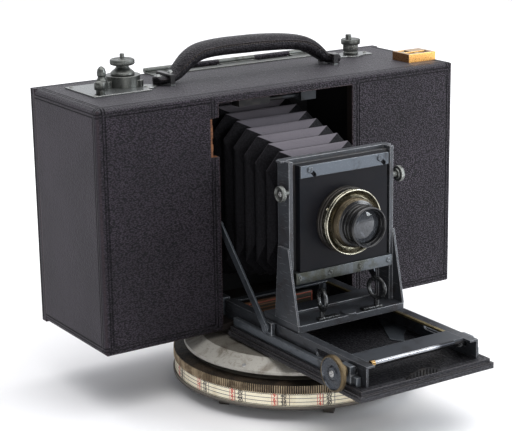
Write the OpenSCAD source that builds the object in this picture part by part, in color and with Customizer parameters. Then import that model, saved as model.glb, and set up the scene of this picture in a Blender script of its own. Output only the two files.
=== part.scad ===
// Panoramic camera: a folding camera on a geared turntable. As it turns, a spring
// motor rolls a pinion round a fixed gear ring and draws roll film past a slit.
// Millimetres, +Z up, the lens looks toward -Y. The origin is the mouth of the
// tripod bush, on the turning axis and level with the feet of the lugs.

/* [Turntable] */
// Height of the tripod lugs under the casting
lug_h = 12; // [11:0.5:18]
// Distance of each lug from the turning axis
lug_r = 100; // [96:1:104]
// Width of a lug
lug_w = 13; // [12:0.5:16]
// Radius of the leg-pin hole in a lug
lug_pin_r = 2.6; // [2:0.1:3]
// Radius of the threaded tripod bush
bush_r = 4.76; // [3.2:0.01:5]
// Depth of the tripod bush
bush_l = 14; // [10:0.5:16]
// Height of the lip under the scale
lip_h = 3; // [2:0.5:5]
// Height of the degree scale
band_h = 12; // [9:0.5:14]
// Height of the gear ring
gear_h = 8; // [7:0.5:10]
// Teeth on the gear ring
ring_teeth = 360; // [354:2:364]
// Tooth module of the ring and its pinion
ring_module = 0.6667; // [0.65:0.0001:0.68]
// Teeth on the drive pinion
pinion_teeth = 40; // [36:2:42]
// Clear height between the gear ring and the disc
race_gap = 6; // [5:0.5:8]
// Radius of the turning disc
disc_r = 110; // [104:1:112]
// Radius of the flat on top of the disc
disc_flat_r = 94; // [86:1:98]
// Thickness of the disc
disc_t = 11; // [9:0.5:13]
// Gap between the disc and the case, filled by a block
block_h = 5; // [4.5:0.5:8]
// Radius of the spindle
spindle_r = 10; // [8:0.5:12]

/* [Case] */
// Width of the case
case_w = 404; // [396:1:420]
// Depth of the case with its door
case_d = 135; // [133:1:150]
// Height of the case
case_h = 231; // [226:1:244]
// Distance of the front of the case behind the turning axis
setback = 12; // [10:0.5:14]
// Thickness of the leather covering
leather_t = 1.5; // [1:0.1:2]
// Thickness of the wooden boards
wood_t = 7.5; // [6.5:0.5:8]
// Thickness of the bottom board
floor_t = 5.5; // [5:0.5:5.5]
// Rounding of the case edges
edge_r = 4.5; // [4:0.5:4.9]
// Thickness of the back door
door_t = 9; // [7:0.5:10]
// Width of the front opening
open_w = 152.6; // [151:0.2:158]

/* [Film] */
// Width of the film
film_w = 165; // [155:1:166]
// Depth of the film behind the front of the case
film_back = 100; // [98:0.5:102]
// Width of the exposing slit
slit_w = 6; // [3:0.5:12]
// Radius of the film drum
drum_r = 20; // [16:0.5:20.5]
// Distance of the supply spool from the left end of the case
supply_in = 72; // [66:0.5:76]
// Radius of the film on the supply spool
roll_r = 15; // [11:0.5:19]

/* [Spring motor] */
// Tooth module of the motor wheels
motor_module = 1; // [0.98:0.01:1.01]
// Teeth on the wheel of the drum shaft
drum_teeth = 47; // [45:1:48]
// Teeth on the spring barrel
barrel_teeth = 54; // [52:1:54]
// Teeth on the governor pinion
fan_teeth = 14; // [12:1:16]
// Radius of the spring barrel
barrel_r = 24; // [20:0.5:24.5]
// Radius of the governor vanes
fan_r = 13; // [9:0.5:13.5]

/* [Bed] */
// Length of the bed
bed_l = 211; // [208:0.5:213]
// Width of the bed
bed_w = 148; // [147:0.5:150]
// Thickness of the bed
bed_t = 9; // [8:0.5:9]
// Distance of the underside of the bed below the case
bed_drop = 3; // [2:0.5:3.5]
// Distance of the focus shaft in front of the case
focus_out = 187; // [184:0.5:188]
// Radius of the focus knob
knob_r = 16.9; // [14:0.1:17]

/* [Standard and lens] */
// Height of the lens above the underside of the case
lens_up = 120; // [118:0.5:122]
// Distance of the front of the uprights in front of the case
standard_out = 88; // [84:0.5:90]
// Height of the top of the uprights above the underside of the case
standard_up = 180; // [178:0.5:184]
// Radius of the lens flange
flange_r = 31; // [28:0.5:32]
// Radius of the iris ring
iris_r = 30.5; // [28:0.5:31]
// Radius of the front barrel
barrel_front_r = 19; // [17:0.5:20]
// Distance of the front of the lens in front of the uprights
lens_out = 42; // [39:0.5:44]
// Depth of the drum behind the iris ring
lens_drum = 6.5; // [5:0.5:8]
// Radius of the glass
glass_r = 13.5; // [11:0.25:14]

/* [Top fittings] */
// Length of the handle over its tips
handle_l = 216; // [205:1:220]
// Height of the handle above the case
handle_h = 38; // [34:0.5:42]
// Width of the handle
handle_w = 26; // [20:0.5:30]
// Radius of the supply collar
collar_r = 16.5; // [14:0.5:17]
// Radius of the supply cap
cap_r = 11.7; // [10:0.1:13]
// Radius of the winding key
key_r = 7.8; // [6.5:0.1:9]
// Length of the level along the front
level_w = 34; // [30:0.5:36]
// Depth of the level
level_d = 27; // [25:0.5:36]
// Height of the level
level_h = 8.5; // [8:0.5:10]

/* [Hidden] */
$fn = 96;
slip = 0.05;
gap = 0.3;
lug_pairs = [-137, -17, 103];
lug_t = 9;
lug_pin_z = lug_w / 2 - 0.5;
band_z = lug_h + lip_h;
gear_z = band_z + band_h;
gear_top = gear_z + gear_h;
disc_z = gear_top + race_gap;
disc_top = disc_z + disc_t;
z0 = disc_top + block_h;
top = z0 + case_h;
ring_r = ring_module * ring_teeth / 2;
pinion_r = ring_module * pinion_teeth / 2;
boss_r = 20;
thrust_r = 34;
nut_w = 5;
well_h = 5;
block_w = 112;
band_r = ring_r - 0.4;
inner_r = ring_r - 16;
front = setback;
back = front + case_d;
shell_back = back - door_t - gap;
half_w = case_w / 2;
wood_x = half_w - leather_t;
in_x = wood_x - wood_t;
in_front = front + leather_t + wood_t;
floor_top = z0 + leather_t + floor_t;
roof = top - leather_t - wood_t;
film_y = front + film_back;
spool_h = film_w + 6;
motor_room = 20;
motor_z = roof - motor_room;
spool_z = motor_z - 1 - spool_h;
mesh_z = motor_z + 3;
drive_angle = 30;
drive_at = (ring_r + pinion_r) * [cos(drive_angle), sin(drive_angle)];
wind_angle = 55;
wind_gap = motor_module * (drum_teeth + barrel_teeth) / 2;
wind_at = drive_at + wind_gap * [cos(wind_angle), sin(wind_angle)];
fan_gap = motor_module * (barrel_teeth + fan_teeth) / 2;
fan_angle = -acos(min(1, (in_x - 1.5 - fan_r - wind_at[0]) / fan_gap));
fan_at = wind_at + fan_gap * [cos(fan_angle), sin(fan_angle)];
take_r = 17;
take_at = [in_x - take_r - 1, in_front + 33];
supply_at = [-half_w + supply_in, front + 84];
punch_at = [-half_w + 34, front + 57];
brake_at = [-half_w + 45, front + 75];
shaft_r = 4;
arbor_r = 4;
punch_r = 4;
pivot_r = 3;
pivot_l = 2.5;
fan_pin_r = 1.5;
wheel_t = 4;
barrel_h = 10;
flange_t = 2.5;
plate_t = 1.4;
button_y = front + 12;
button_r = 3.5;
stem_r = 2;
stem_head_r = 2.6;
collar_h = 12;
wall_x = 84;
wall_t = 4;
bed_back = front - 5.2;
bed_front = bed_back - bed_l;
bed_top = z0 - bed_drop + bed_t;
track_top = z0 + 24.6;
track_x = 62;
track_in = 53;
sheet_t = 1.6;
rack_x = 55;
rack_t = 4;
focus_r = 3;
slot_r = focus_r + 0.6;
knob_x = 76;
focus_in = 5;
focus_run = 50;
track_back = front + 18;
focus_y = front - focus_out;
track_front = min(bed_front + 8, focus_y - 13);
focus_z = z0 + 17;
focus_module = 0.75;
focus_teeth = 12;
rack_z = focus_z + focus_module * focus_teeth / 2;
base_top = z0 + 31;
up_front = front - standard_out;
up_back = up_front + 16;
up_x = 58.5;
up_in = 54.5;
up_top = z0 + standard_up;
lens_z = z0 + lens_up;
panel_y = up_front + 4;
board_y = up_front - 3;
latch_z = z0 + 171.5;
lens_front = up_front - lens_out;
seat_r = 23.5;
bellows_rear = film_y - 11;
bellows_front = up_back + 2;
bellows_big = [62, 84];
bellows_small = [54, 55];
bellows_chamfer = 18;
pleats = 10;
pleat_d = 8;
strut_pin_r = 1.85;
strut_top = [in_front + strut_pin_r + gap, z0 + 101.5];
strut_foot = [front - 64, z0 + 21];
strut_x = 70;
catch_z = z0 + 34;
handle_at = [max(4, supply_at[0] + collar_r + 9.5 + handle_l / 2), front + 72];
hinge_y = back;
hinge_z = top + 2.8;
hinge_lo = -79;
hinge_l = 214;
hinge_r = 2.6;
hinge_pin_r = 1.2;

module block(lo, hi) {
    translate(lo) cube(hi - lo);
}

module rod_x(r, x0, x1, y, z) {
    translate([x0, y, z]) rotate([0, 90, 0]) cylinder(r = r, h = x1 - x0);
}

module rod_y(r, y0, y1, x, z) {
    translate([x, y1, z]) rotate([90, 0, 0]) cylinder(r = r, h = y1 - y0);
}

module rod_z(r, at, lo, hi) {
    translate([at[0], at[1], lo]) cylinder(r = r, h = hi - lo);
}

module both() {
    children();
    mirror([1, 0, 0]) children();
}

// A rectangle about the origin with round corners
module round_rect(w, h, r) {
    square([w, h - 2 * r], center = true);
    square([w - 2 * r, h], center = true);
    for (sx = [-1, 1], sy = [-1, 1])
        translate([sx * (w / 2 - r), sy * (h / 2 - r)]) circle(r);
}

// Straight-flanked spur wheel with a tooth on +X
module wheel(teeth, module_mm) {
    pitch = 360 / teeth;
    r = module_mm * teeth / 2;
    flank = [[-1.2, -0.28], [0.85, -0.1], [0.85, 0.1], [-1.2, 0.28]];
    polygon([for (i = [0:teeth - 1], f = flank)
        let (a = (i + f[1]) * pitch) (r + f[0] * module_mm) * [cos(a), sin(a)]]);
}

// Tube through a list of closed loops, with flat ends
module skin(loops) {
    n = len(loops[0]);
    last = len(loops) - 1;
    points = [for (loop = loops, p = loop) p];
    sides = [for (k = [0:last - 1], i = [0:n - 1], t = [0, 1])
        let (a = k * n + i, b = k * n + (i + 1) % n)
        t == 0 ? [a, b, b + n] : [a, b + n, a + n]];
    first_end = [for (i = [n - 1:-1:0]) i];
    last_end = [for (i = [0:n - 1]) last * n + i];
    polyhedron(points, concat([first_end], sides, [last_end]), convexity = 10);
}

// Turntable: what stays on the tripod

// Round-footed lug that takes the pin of a tripod leg
module lug() {
    intersection() {
        union() {
            rod_y(lug_w / 2, 0, lug_t, 0, lug_pin_z);
            block([-lug_w / 2, 0, lug_pin_z], [lug_w / 2, lug_t, lug_h + 1]);
        }
        block([-lug_w, -1, 0], [lug_w, lug_t + 1, lug_h + 1]);
    }
}

module turntable_base() {
    color("gray") difference() {
        union() {
            rod_z(band_r + 1.6, [0, 0], lug_h, band_z);
            rod_z(band_r - 1, [0, 0], band_z, gear_z);
            rod_z(inner_r - 0.2, [0, 0], gear_z, gear_top);
            rod_z(boss_r, [0, 0], 0, lug_h);
            for (pair = lug_pairs, side = [-1, 1]) rotate(pair)
                translate([lug_r * cos(30), side * lug_r * sin(30) - lug_t / 2, 0]) lug();
        }
        rod_z(bush_r, [0, 0], -1, bush_l);
        for (pair = lug_pairs) rotate(pair)
            rod_y(lug_pin_r, -lug_r, lug_r, lug_r * cos(30), lug_pin_z);
    }
}

module gear_ring() {
    color("darkgoldenrod") translate([0, 0, gear_z]) difference() {
        linear_extrude(gear_h) rotate(drive_angle) wheel(ring_teeth, ring_module);
        translate([0, 0, -1]) cylinder(r = inner_r, h = gear_h + 2);
    }
}

module scale_band() {
    color("ivory") difference() {
        rod_z(band_r, [0, 0], band_z, gear_z);
        rod_z(band_r - 1, [0, 0], band_z - 1, gear_z + 1);
    }
}

module spindle() {
    color("silver") union() {
        rod_z(thrust_r, [0, 0], gear_top, disc_z - gap);
        rod_z(spindle_r, [0, 0], gear_top, disc_top - 1);
        rod_z(spindle_r + nut_w, [0, 0], disc_top - well_h + gap, disc_top - 1);
    }
}

// Camera: the case and what is fixed to it

module turntable_disc() {
    hub = spindle_r + slip;
    well = spindle_r + nut_w + 2;
    color("silver") union() {
        rotate_extrude() polygon([
            [hub, disc_z], [disc_r, disc_z], [disc_r, disc_z + 3], [disc_flat_r, disc_top],
            [well, disc_top], [well, disc_top - well_h], [hub, disc_top - well_h]]);
        block([-block_w / 2, front + 3, disc_top - 1], [block_w / 2, front + 58, z0]);
    }
}

module bottom_board() {
    color("saddlebrown") difference() {
        block([-wood_x, front + leather_t, z0 + leather_t], [wood_x, shell_back, floor_top]);
        rod_z(shaft_r + slip, drive_at, z0, floor_top + 1);
        for (at = [take_at, supply_at]) 
            rod_z(pivot_r + slip, at, floor_top - pivot_l - gap, floor_top + 1);
    }
}

module top_board() {
    color("saddlebrown") difference() {
        block([-wood_x, front + leather_t, roof], [wood_x, shell_back, top - leather_t]);
        rod_z(arbor_r + slip, wind_at, roof - 1, top);
        rod_z(shaft_r + slip, supply_at, roof - 1, top);
        rod_z(punch_r + slip, punch_at, roof - 1, top);
        rod_z(2 + slip, brake_at, top - 8, top);
    }
}

module left_board() {
    color("saddlebrown")
        block([-wood_x, front + leather_t, floor_top], [-in_x, shell_back, roof]);
}

module right_board() {
    color("saddlebrown") difference() {
        block([in_x, front + leather_t, floor_top], [wood_x, shell_back, roof]);
        rod_x(stem_r + slip, in_x - 1, half_w, button_y, catch_z);
    }
}

// Clearance for the focus knob when the bed is shut
module knob_notch() {
    z = z0 + focus_out + 3;
    block([-open_w / 2 - 9.2, front - 1, z - 18.5], [-open_w / 2 + 1, in_front + 1, z + 18.5]);
}

module front_boards() {
    color("saddlebrown") difference() {
        both() block([open_w / 2, front + leather_t, floor_top], [in_x, in_front, roof]);
        knob_notch();
    }
}

module leather_cover() {
    h = case_h;
    w = case_w;
    d = shell_back - front + 2 * edge_r;
    color("dimgray") difference() {
        translate([0, front + d / 2, z0 + h / 2]) intersection() {
            linear_extrude(h, center = true) round_rect(w, d, edge_r);
            rotate([90, 0, 0]) linear_extrude(d, center = true) round_rect(w, h, edge_r);
            rotate([90, 0, 90]) linear_extrude(w, center = true) round_rect(d, h, edge_r);
        }
        block([-wood_x, front + leather_t, z0 + leather_t], [wood_x, back + 20, top - leather_t]);
        block([-half_w - 1, shell_back, z0 - 1], [half_w + 1, back + 20, top + 1]);
        block([-open_w / 2, front - 1, z0 + leather_t], [open_w / 2, front + 5, roof]);
        knob_notch();
        rod_z(shaft_r + 1, drive_at, z0 - 1, z0 + 3);
        rod_z(arbor_r + 1, wind_at, top - 3, top + 1);
        rod_z(shaft_r + 1, supply_at, top - 3, top + 1);
        rod_z(5, punch_at, top - 3, top + 1);
        rod_z(3, brake_at, top - 3, top + 1);
        rod_x(button_r + 1, half_w - 3, half_w + 1, button_y, catch_z);
    }
}

module chamber_walls() {
    color("black") both()
        block([wall_x, in_front, floor_top], [wall_x + wall_t, film_y - 3, roof]);
}

module slit_board() {
    color("black") difference() {
        block([-wall_x - wall_t, film_y - 3, floor_top], [wall_x + wall_t, film_y, roof]);
        block([-slit_w / 2, film_y - 5, spool_z + 3], [slit_w / 2, film_y + 2, spool_z + 3 + film_w]);
    }
}

module bellows_frame() {
    color("black") difference() {
        block([-wall_x, bellows_rear, floor_top], [wall_x, bellows_rear + 4, roof]);
        block([-50, bellows_rear - 1, lens_z - 75], [50, bellows_rear + 5, lens_z + 75]);
    }
}

// Chamfered loop of the bellows at depth y, t = 0 at the rear and 1 at the front
function bellows_loop(y, t, inset) =
    let (half = bellows_big + (bellows_small - bellows_big) * t, w = half[0] - inset, h = half[1] - inset,
         c = bellows_chamfer)
    [for (p = [[-w, h - c], [-w, c - h], [c - w, -h], [w - c, -h],
               [w, c - h], [w, h - c], [w - c, h], [c - w, h]])
        [p[0], y, lens_z + p[1]]];

function bellows_loops(inset) =
    let (steps = 2 * pleats, run = bellows_front - bellows_rear)
    [for (k = [0:steps])
        bellows_loop(bellows_rear + run * k / steps, k / steps, inset + (k % 2 == 0 ? pleat_d : 0))];

module bellows() {
    outer = bellows_loops(0);
    inner = bellows_loops(1.6);
    n = 8;
    rows = len(outer);
    points = concat([for (l = outer, p = l) p], [for (l = inner, p = l) p]);
    shift = rows * n;
    walls = [for (k = [0:rows - 2], i = [0:n - 1])
        let (j = (i + 1) % n, a = k * n + i, b = k * n + j) [a, b, b + n, a + n]];
    outside = [for (f = walls, t = [0, 1]) t == 0 ? [f[0], f[1], f[2]] : [f[0], f[2], f[3]]];
    inside = [for (f = outside) [f[2] + shift, f[1] + shift, f[0] + shift]];
    last = (rows - 1) * n;
    ends = [for (i = [0:n - 1], t = [0, 1]) let (j = (i + 1) % n, a = last + i, b = last + j)
        t == 0 ? [j, i, i + shift, j + shift] : [a, b, b + shift, a + shift]];
    split = [for (f = ends, t = [0, 1]) t == 0 ? [f[0], f[1], f[2]] : [f[0], f[2], f[3]]];
    color("darkslategray") polyhedron(points, concat(outside, inside, split), convexity = 12);
}

module bed_board() {
    color("sienna") union() {
        block([-bed_w / 2, bed_front, z0 - bed_drop], [bed_w / 2, bed_back, bed_top - 3.5]);
        block([-bed_w / 2 + 2.5, bed_front + 2.5, z0 - bed_drop], [bed_w / 2 - 2.5, bed_back, bed_top]);
    }
}

module bed_hinge() {
    color("dimgray") union() {
        rod_x(2.4, -66, 66, front - 2.6, z0 + 1);
        block([-66, bed_back, z0 - bed_drop - 0.8], [66, front - 2.6, z0 - bed_drop + 1.6]);
        block([-66, bed_back - 14, z0 - bed_drop - 0.8], [66, bed_back, z0 - bed_drop]);
        block([-66, front - 2.6, z0], [66, front, z0 + 2]);
    }
}

module guide_rails() {
    color("slategray") both() difference() {
        union() {
            block([63.4, track_front + 6, bed_top], [68, bed_back, bed_top + 8]);
            block([63.4, focus_y - 7, bed_top], [69, focus_y + 7, focus_z + 5]);
            block([63.4, strut_foot[0] - 6, bed_top], [67.5, strut_foot[0] + 6, strut_foot[1] + 5]);
        }
        rod_x(focus_r + slip, 60, 75, focus_y, focus_z);
        rod_x(strut_pin_r + slip, 60, 75, strut_foot[0], strut_foot[1]);
    }
    color("dimgray") both()
        block([track_in, track_back + 6.5, floor_top], [track_x, bellows_rear - 2, track_top]);
}

module bed_struts() {
    d = strut_foot - strut_top;
    long = norm(d);
    turn = atan2(d[1], d[0]);
    color("slategray") both() translate([strut_x - 1, 0, 0]) rotate([90, 0, 90]) linear_extrude(2)
        difference() {
            translate(strut_top) rotate(turn) {
                translate([0, -4]) square([long, 8]);
                circle(4.5);
                translate([long, 0]) circle(5);
            }
            translate(strut_top) circle(strut_pin_r + slip);
            translate(strut_foot) circle(strut_pin_r + slip);
        }
    color("silver") both() {
        rod_x(strut_pin_r, strut_x - 2.5, wall_x, strut_top[0], strut_top[1]);
        union() {
            rod_x(3.4, strut_x + 1, strut_x + 2.4, strut_foot[0], strut_foot[1]);
            rod_x(strut_pin_r, 63.4, strut_x + 1, strut_foot[0], strut_foot[1]);
        }
    }
}

module bed_catch() {
    color("slategray") {
        block([18, front + 3, roof - 9], [35, front + 18, roof]);
        block([-52, front + 3, roof - 7], [-18, front + 16, roof]);
        rod_x(2.2, -18, 18, front + 10, roof - 4.5);
        intersection() {
            rod_y(32, bed_front + 3, bed_front + 5, -3, bed_top + 6.5 - 32);
            block([-22, bed_front, bed_top], [16, bed_front + 10, bed_top + 8]);
        }
    }
}

// Height of the handle's middle line at x, from flat tips over round shoulders
function handle_rise(x) =
    let (s = min(1, max(0, (80 - abs(x)) / 30)), ease = s * s * (3 - 2 * s))
    4.5 + (handle_h - 15) * ease + 2.5 * ease * (1 - pow(x / 80, 2));

function handle_size(x) =
    let (s = min(1, max(0, (84 - abs(x)) / 26)), ease = s * s * (3 - 2 * s))
    [handle_w * (0.78 + 0.22 * ease) / 2, 4.2 + 4.3 * ease];

function handle_loop(x) =
    let (s = handle_size(x), slope = (handle_rise(x + 1) - handle_rise(x - 1)) / 2,
         lean = [-slope, 1] / norm([slope, 1]))
    [for (i = [0:15]) let (a = i * 22.5, u = s[0] * cos(a), v = s[1] * sin(a))
        [x + lean[0] * v, u, handle_rise(x) + lean[1] * v]];

module handle() {
    tip = handle_l / 2;
    color("saddlebrown") translate([handle_at[0], handle_at[1], top])
        skin([for (k = [0:36]) handle_loop(-tip + 2 * tip * k / 36)]);
}

module top_plates() {
    color("silver") {
        difference() {
            union() {
                block([-half_w + 24, front + 50, top], [-half_w + 84, front + 110, top + plate_t]);
                rod_z(9.5, [-half_w + 88, front + 68], top, top + plate_t);
            }
            rod_z(5, supply_at, top - 1, top + 2);
            rod_z(5, punch_at, top - 1, top + 2);
            rod_z(3, brake_at, top - 1, top + 2);
        }
        difference() {
            union() {
                rod_z(13, wind_at, top, top + plate_t);
                translate([wind_at[0], wind_at[1], top]) block([-22, -8, 0], [22, 8, plate_t]);
            }
            rod_z(arbor_r + 1, wind_at, top - 1, top + 2);
        }
        translate([handle_at[0], handle_at[1], top]) both() difference() {
            block([handle_l / 2 - 16, -14, 0], [handle_l / 2 - 11, 14, 11]);
            block([handle_l / 2 - 17, -11.8, -1], [handle_l / 2 - 10, 11.8, 9.2]);
        }
    }
}

module supply_collar() {
    color("silver") difference() {
        union() {
            rod_z(collar_r, supply_at, top + plate_t, top + collar_h);
            for (a = [70, 190, 310]) translate([supply_at[0], supply_at[1], top + plate_t]) rotate(a)
                block([collar_r - 2, -3, 0], [collar_r + 3, 3, 6]);
        }
        rod_z(shaft_r + 0.4, supply_at, top, top + collar_h + 1);
    }
}

module level_frame() {
    lo = [half_w - 5 - level_w, front + 22, top];
    hi = lo + [level_w, level_d, level_h];
    color("gold") difference() {
        block(lo, hi);
        block(lo + [4, 4, 2.5], [hi[0] - 4, lo[1] + 13, hi[2] + 1]);
        block(lo + [4, 15, 2.5], [lo[0] + 13, hi[1] - 2.5, hi[2] + 1]);
    }
}

module level_vials() {
    lo = [half_w - 5 - level_w, front + 22, top + 2.5];
    color("lightgreen") {
        rod_x(2.6, lo[0] + 4, lo[0] + level_w - 4, lo[1] + 8.5, lo[2] + 2.6);
        rod_y(2.6, lo[1] + 15, lo[1] + level_d - 2.5, lo[0] + 8.5, lo[2] + 2.6);
    }
}

// Hinge along the top of the back: knuckles 1, 3 and 5 stay with the case
function door_x(k) = hinge_lo + k * hinge_l / 5;

module door_knuckle(k) {
    rod_x(hinge_r, door_x(k) + 0.2, door_x(k + 1) - 0.2, hinge_y, hinge_z);
}

module door_hinge() {
    color("silver") {
        difference() {
            union() {
                for (k = [0, 2, 4]) door_knuckle(k);
                block([hinge_lo, shell_back - 10, top], [hinge_lo + hinge_l, shell_back, top + 1.2]);
                for (k = [0, 2, 4])
                    block([door_x(k) + 0.4, shell_back - 1, top + 0.05],
                          [door_x(k + 1) - 0.4, hinge_y, top + 1.2]);
            }
            rod_x(hinge_pin_r + slip, hinge_lo - 1, hinge_lo + hinge_l + 1, hinge_y, hinge_z);
        }
        rod_x(hinge_pin_r, hinge_lo, hinge_lo + hinge_l, hinge_y, hinge_z);
    }
}

module side_catch() {
    color("slategray") difference() {
        block([half_w, button_y - 7, catch_z - 8], [half_w + plate_t, button_y + 7, catch_z + 24]);
        rod_x(button_r + 1, half_w - 1, half_w + 3, button_y, catch_z);
    }
}

module motor_plate() {
    color("goldenrod") difference() {
        block([wall_x + wall_t, in_front, motor_z], [in_x, shell_back - 2, motor_z + 2]);
        rod_z(shaft_r + slip, drive_at, motor_z - 1, motor_z + 3);
        rod_z(pivot_r + slip, take_at, motor_z - 1, motor_z + 3);
        rod_z(fan_pin_r + slip, fan_at, motor_z - 1, motor_z + 3);
    }
}

// Film drive: the pinion, the shaft, the drum and the motor wheel turn as one

module drive_shaft() {
    color("silver") rod_z(shaft_r, drive_at, gear_z + 0.6, roof - 3);
}

module drive_pinion() {
    color("goldenrod") translate([drive_at[0], drive_at[1], gear_z + 0.6]) difference() {
        linear_extrude(gear_h - 1.2) rotate(drive_angle + 180 + 180 / pinion_teeth)
            wheel(pinion_teeth, ring_module);
        translate([0, 0, -1]) cylinder(r = shaft_r + 0.01, h = gear_h + 2);
    }
}

module film_drum() {
    color("darkslategray") difference() {
        union() {
            rod_z(drum_r, drive_at, spool_z, spool_z + spool_h);
            rod_z(drum_r + 1.5, drive_at, spool_z, spool_z + flange_t);
            rod_z(drum_r + 1.5, drive_at, spool_z + spool_h - flange_t, spool_z + spool_h);
        }
        rod_z(shaft_r + 0.01, drive_at, spool_z - 1, spool_z + spool_h + 1);
    }
}

module drum_wheel() {
    color("goldenrod") translate([drive_at[0], drive_at[1], mesh_z]) difference() {
        linear_extrude(wheel_t) rotate(wind_angle) wheel(drum_teeth, motor_module);
        translate([0, 0, -1]) cylinder(r = shaft_r + 0.01, h = wheel_t + 2);
    }
}

module spring_barrel() {
    color("gold") translate([wind_at[0], wind_at[1], mesh_z]) difference() {
        union() {
            linear_extrude(wheel_t) rotate(wind_angle + 180 + 180 / barrel_teeth)
                wheel(barrel_teeth, motor_module);
            translate([0, 0, wheel_t]) cylinder(r = barrel_r, h = barrel_h);
        }
        translate([0, 0, -1]) cylinder(r = arbor_r + slip, h = wheel_t + barrel_h + 2);
        translate([0, 0, wheel_t]) cylinder(r = barrel_r - 2, h = barrel_h - 2);
    }
}

// Turn of the governor pinion that puts one of its gaps before a barrel tooth
function fan_turn() =
    let (step = 360 / barrel_teeth, first = wind_angle + 180 + 180 / barrel_teeth - fan_angle,
         off = first - step * round(first / step))
    fan_angle + 180 + 180 / fan_teeth - off * barrel_teeth / fan_teeth;

module governor() {
    color("silver") translate([fan_at[0], fan_at[1], 0]) {
        union() {
            translate([0, 0, mesh_z]) linear_extrude(wheel_t)
                rotate(fan_turn()) wheel(fan_teeth, motor_module);
            translate([0, 0, motor_z - 24]) cylinder(r = fan_pin_r, h = mesh_z + 8 - motor_z + 24);
            for (a = [0, 90]) translate([0, 0, motor_z - 22]) rotate(a)
                block([-fan_r, -0.5, 0], [fan_r, 0.5, 18]);
        }
    }
}

module take_up_spool() {
    color("peru") union() {
        rod_z(10, take_at, spool_z, spool_z + spool_h);
        rod_z(take_r, take_at, spool_z, spool_z + flange_t);
        rod_z(take_r, take_at, spool_z + spool_h - flange_t, spool_z + spool_h);
        rod_z(pivot_r, take_at, floor_top - pivot_l, motor_z + 2);
    }
}

module supply_spool() {
    color("peru") union() {
        rod_z(roll_r, supply_at, spool_z + 2, spool_z + spool_h - 2);
        rod_z(20, supply_at, spool_z, spool_z + flange_t);
        rod_z(20, supply_at, spool_z + spool_h - flange_t, spool_z + spool_h);
        rod_z(pivot_r, supply_at, floor_top - pivot_l, spool_z);
    }
}

module supply_knob() {
    h = top + collar_h + gap;
    color("silver") translate([supply_at[0], supply_at[1], 0]) rotate_extrude() polygon([
        [0, spool_z + spool_h], [shaft_r, spool_z + spool_h], [shaft_r, h], [11.5, h], [11, h + 2.5],
        [6.4, h + 5.5], [6, h + 8.6], [cap_r - 1, h + 8.6], [cap_r, h + 9.6], [cap_r, h + 13.6],
        [cap_r - 1, h + 14.6], [2, h + 14.6], [2, h + 19.6], [0, h + 19.6]]);
}

module winding_key() {
    color("silver") union() {
        rod_z(arbor_r, wind_at, motor_z + 2.2, top + 4);
        rod_z(key_r, wind_at, top + 1.8, top + 13);
        rod_z(key_r + 2.2, wind_at, top + 12, top + 17.5);
        rod_z(3, wind_at - [5, 3], top + 17, top + 23);
    }
}

module punch_button() {
    color("silver") union() {
        rod_z(punch_r, punch_at, roof - 2, top + 6);
        rod_z(5.5, punch_at, top + 6, top + 13);
    }
}

module brake_screw() {
    color("silver") translate([brake_at[0], brake_at[1], 0]) rotate_extrude() polygon([
        [0, top - 7.5], [2, top - 7.5], [2, top + 1.7], [5, top + 1.7], [5, top + 11], [3.6, top + 13],
        [3.6, top + 14.4], [4.2, top + 15.4], [4.2, top + 18.6], [3.4, top + 21.4], [1.6, top + 23.4],
        [0, top + 24]]);
}

module back_door() {
    y = shell_back + gap;
    color("dimgray") difference() {
        union() {
            block([-half_w, y, z0], [half_w, back - 0.4, top]);
            block([hinge_lo, back - 0.4, top - 16], [hinge_lo + hinge_l, back + 0.9, top - 0.2]);
            for (k = [1, 3]) {
                door_knuckle(k);
                block([door_x(k) + 0.4, back, top - 1], [door_x(k + 1) - 0.4, back + 0.9, hinge_z]);
            }
        }
        rod_x(hinge_pin_r + slip, hinge_lo - 1, hinge_lo + hinge_l + 1, hinge_y, hinge_z);
    }
}

module side_button() {
    color("silver") union() {
        rod_x(stem_head_r, in_x - 2.5, in_x - gap, button_y, catch_z);
        rod_x(stem_r, in_x - 2.5, half_w + 2, button_y, catch_z);
        rod_x(button_r, half_w + 1.8, half_w + 5, button_y, catch_z);
    }
}

// Track: the frame that the focus pinions drive along the bed

module track_rails() {
    color("darkslategray") difference() {
        union() {
            both() {
                block([track_x - 2, track_front, bed_top + 0.1], [track_x, track_back, track_top]);
                block([track_in, track_front, track_top - sheet_t], [track_x - 1, track_back, track_top]);
            }
        }
        for (y = [-focus_in, focus_run]) rod_x(slot_r, -knob_x, knob_x, focus_y + y, focus_z);
        // Room over the floor of the case, also when the track is racked in
        both() block([track_in, front - focus_in, bed_top], [track_x + 1, track_back + 1, floor_top + gap]);
        block([-knob_x, focus_y - focus_in, focus_z - slot_r],
              [knob_x, focus_y + focus_run, focus_z + slot_r]);
    }
}

module track_bars() {
    // The front bar stands back from the ends of the rails and has a lip over the focus shaft
    bar = track_front + 10;
    color("darkslategray") {
        union() {
            block([-track_in, bar, track_top - sheet_t], [track_in, bar + 24, track_top]);
            block([-track_in, bar, focus_z + focus_r + 0.4], [track_in, bar + sheet_t, track_top]);
        }
        block([-track_in, track_back - 8, track_top - sheet_t], [track_in, track_back, track_top]);
    }
    color("silver") union() {
        rod_x(2.2, -49, 40, bar - 2.2, track_top - 1.2);
        rod_x(2.9, -52, -48, bar - 2.2, track_top - 1.2);
    }
}

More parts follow.
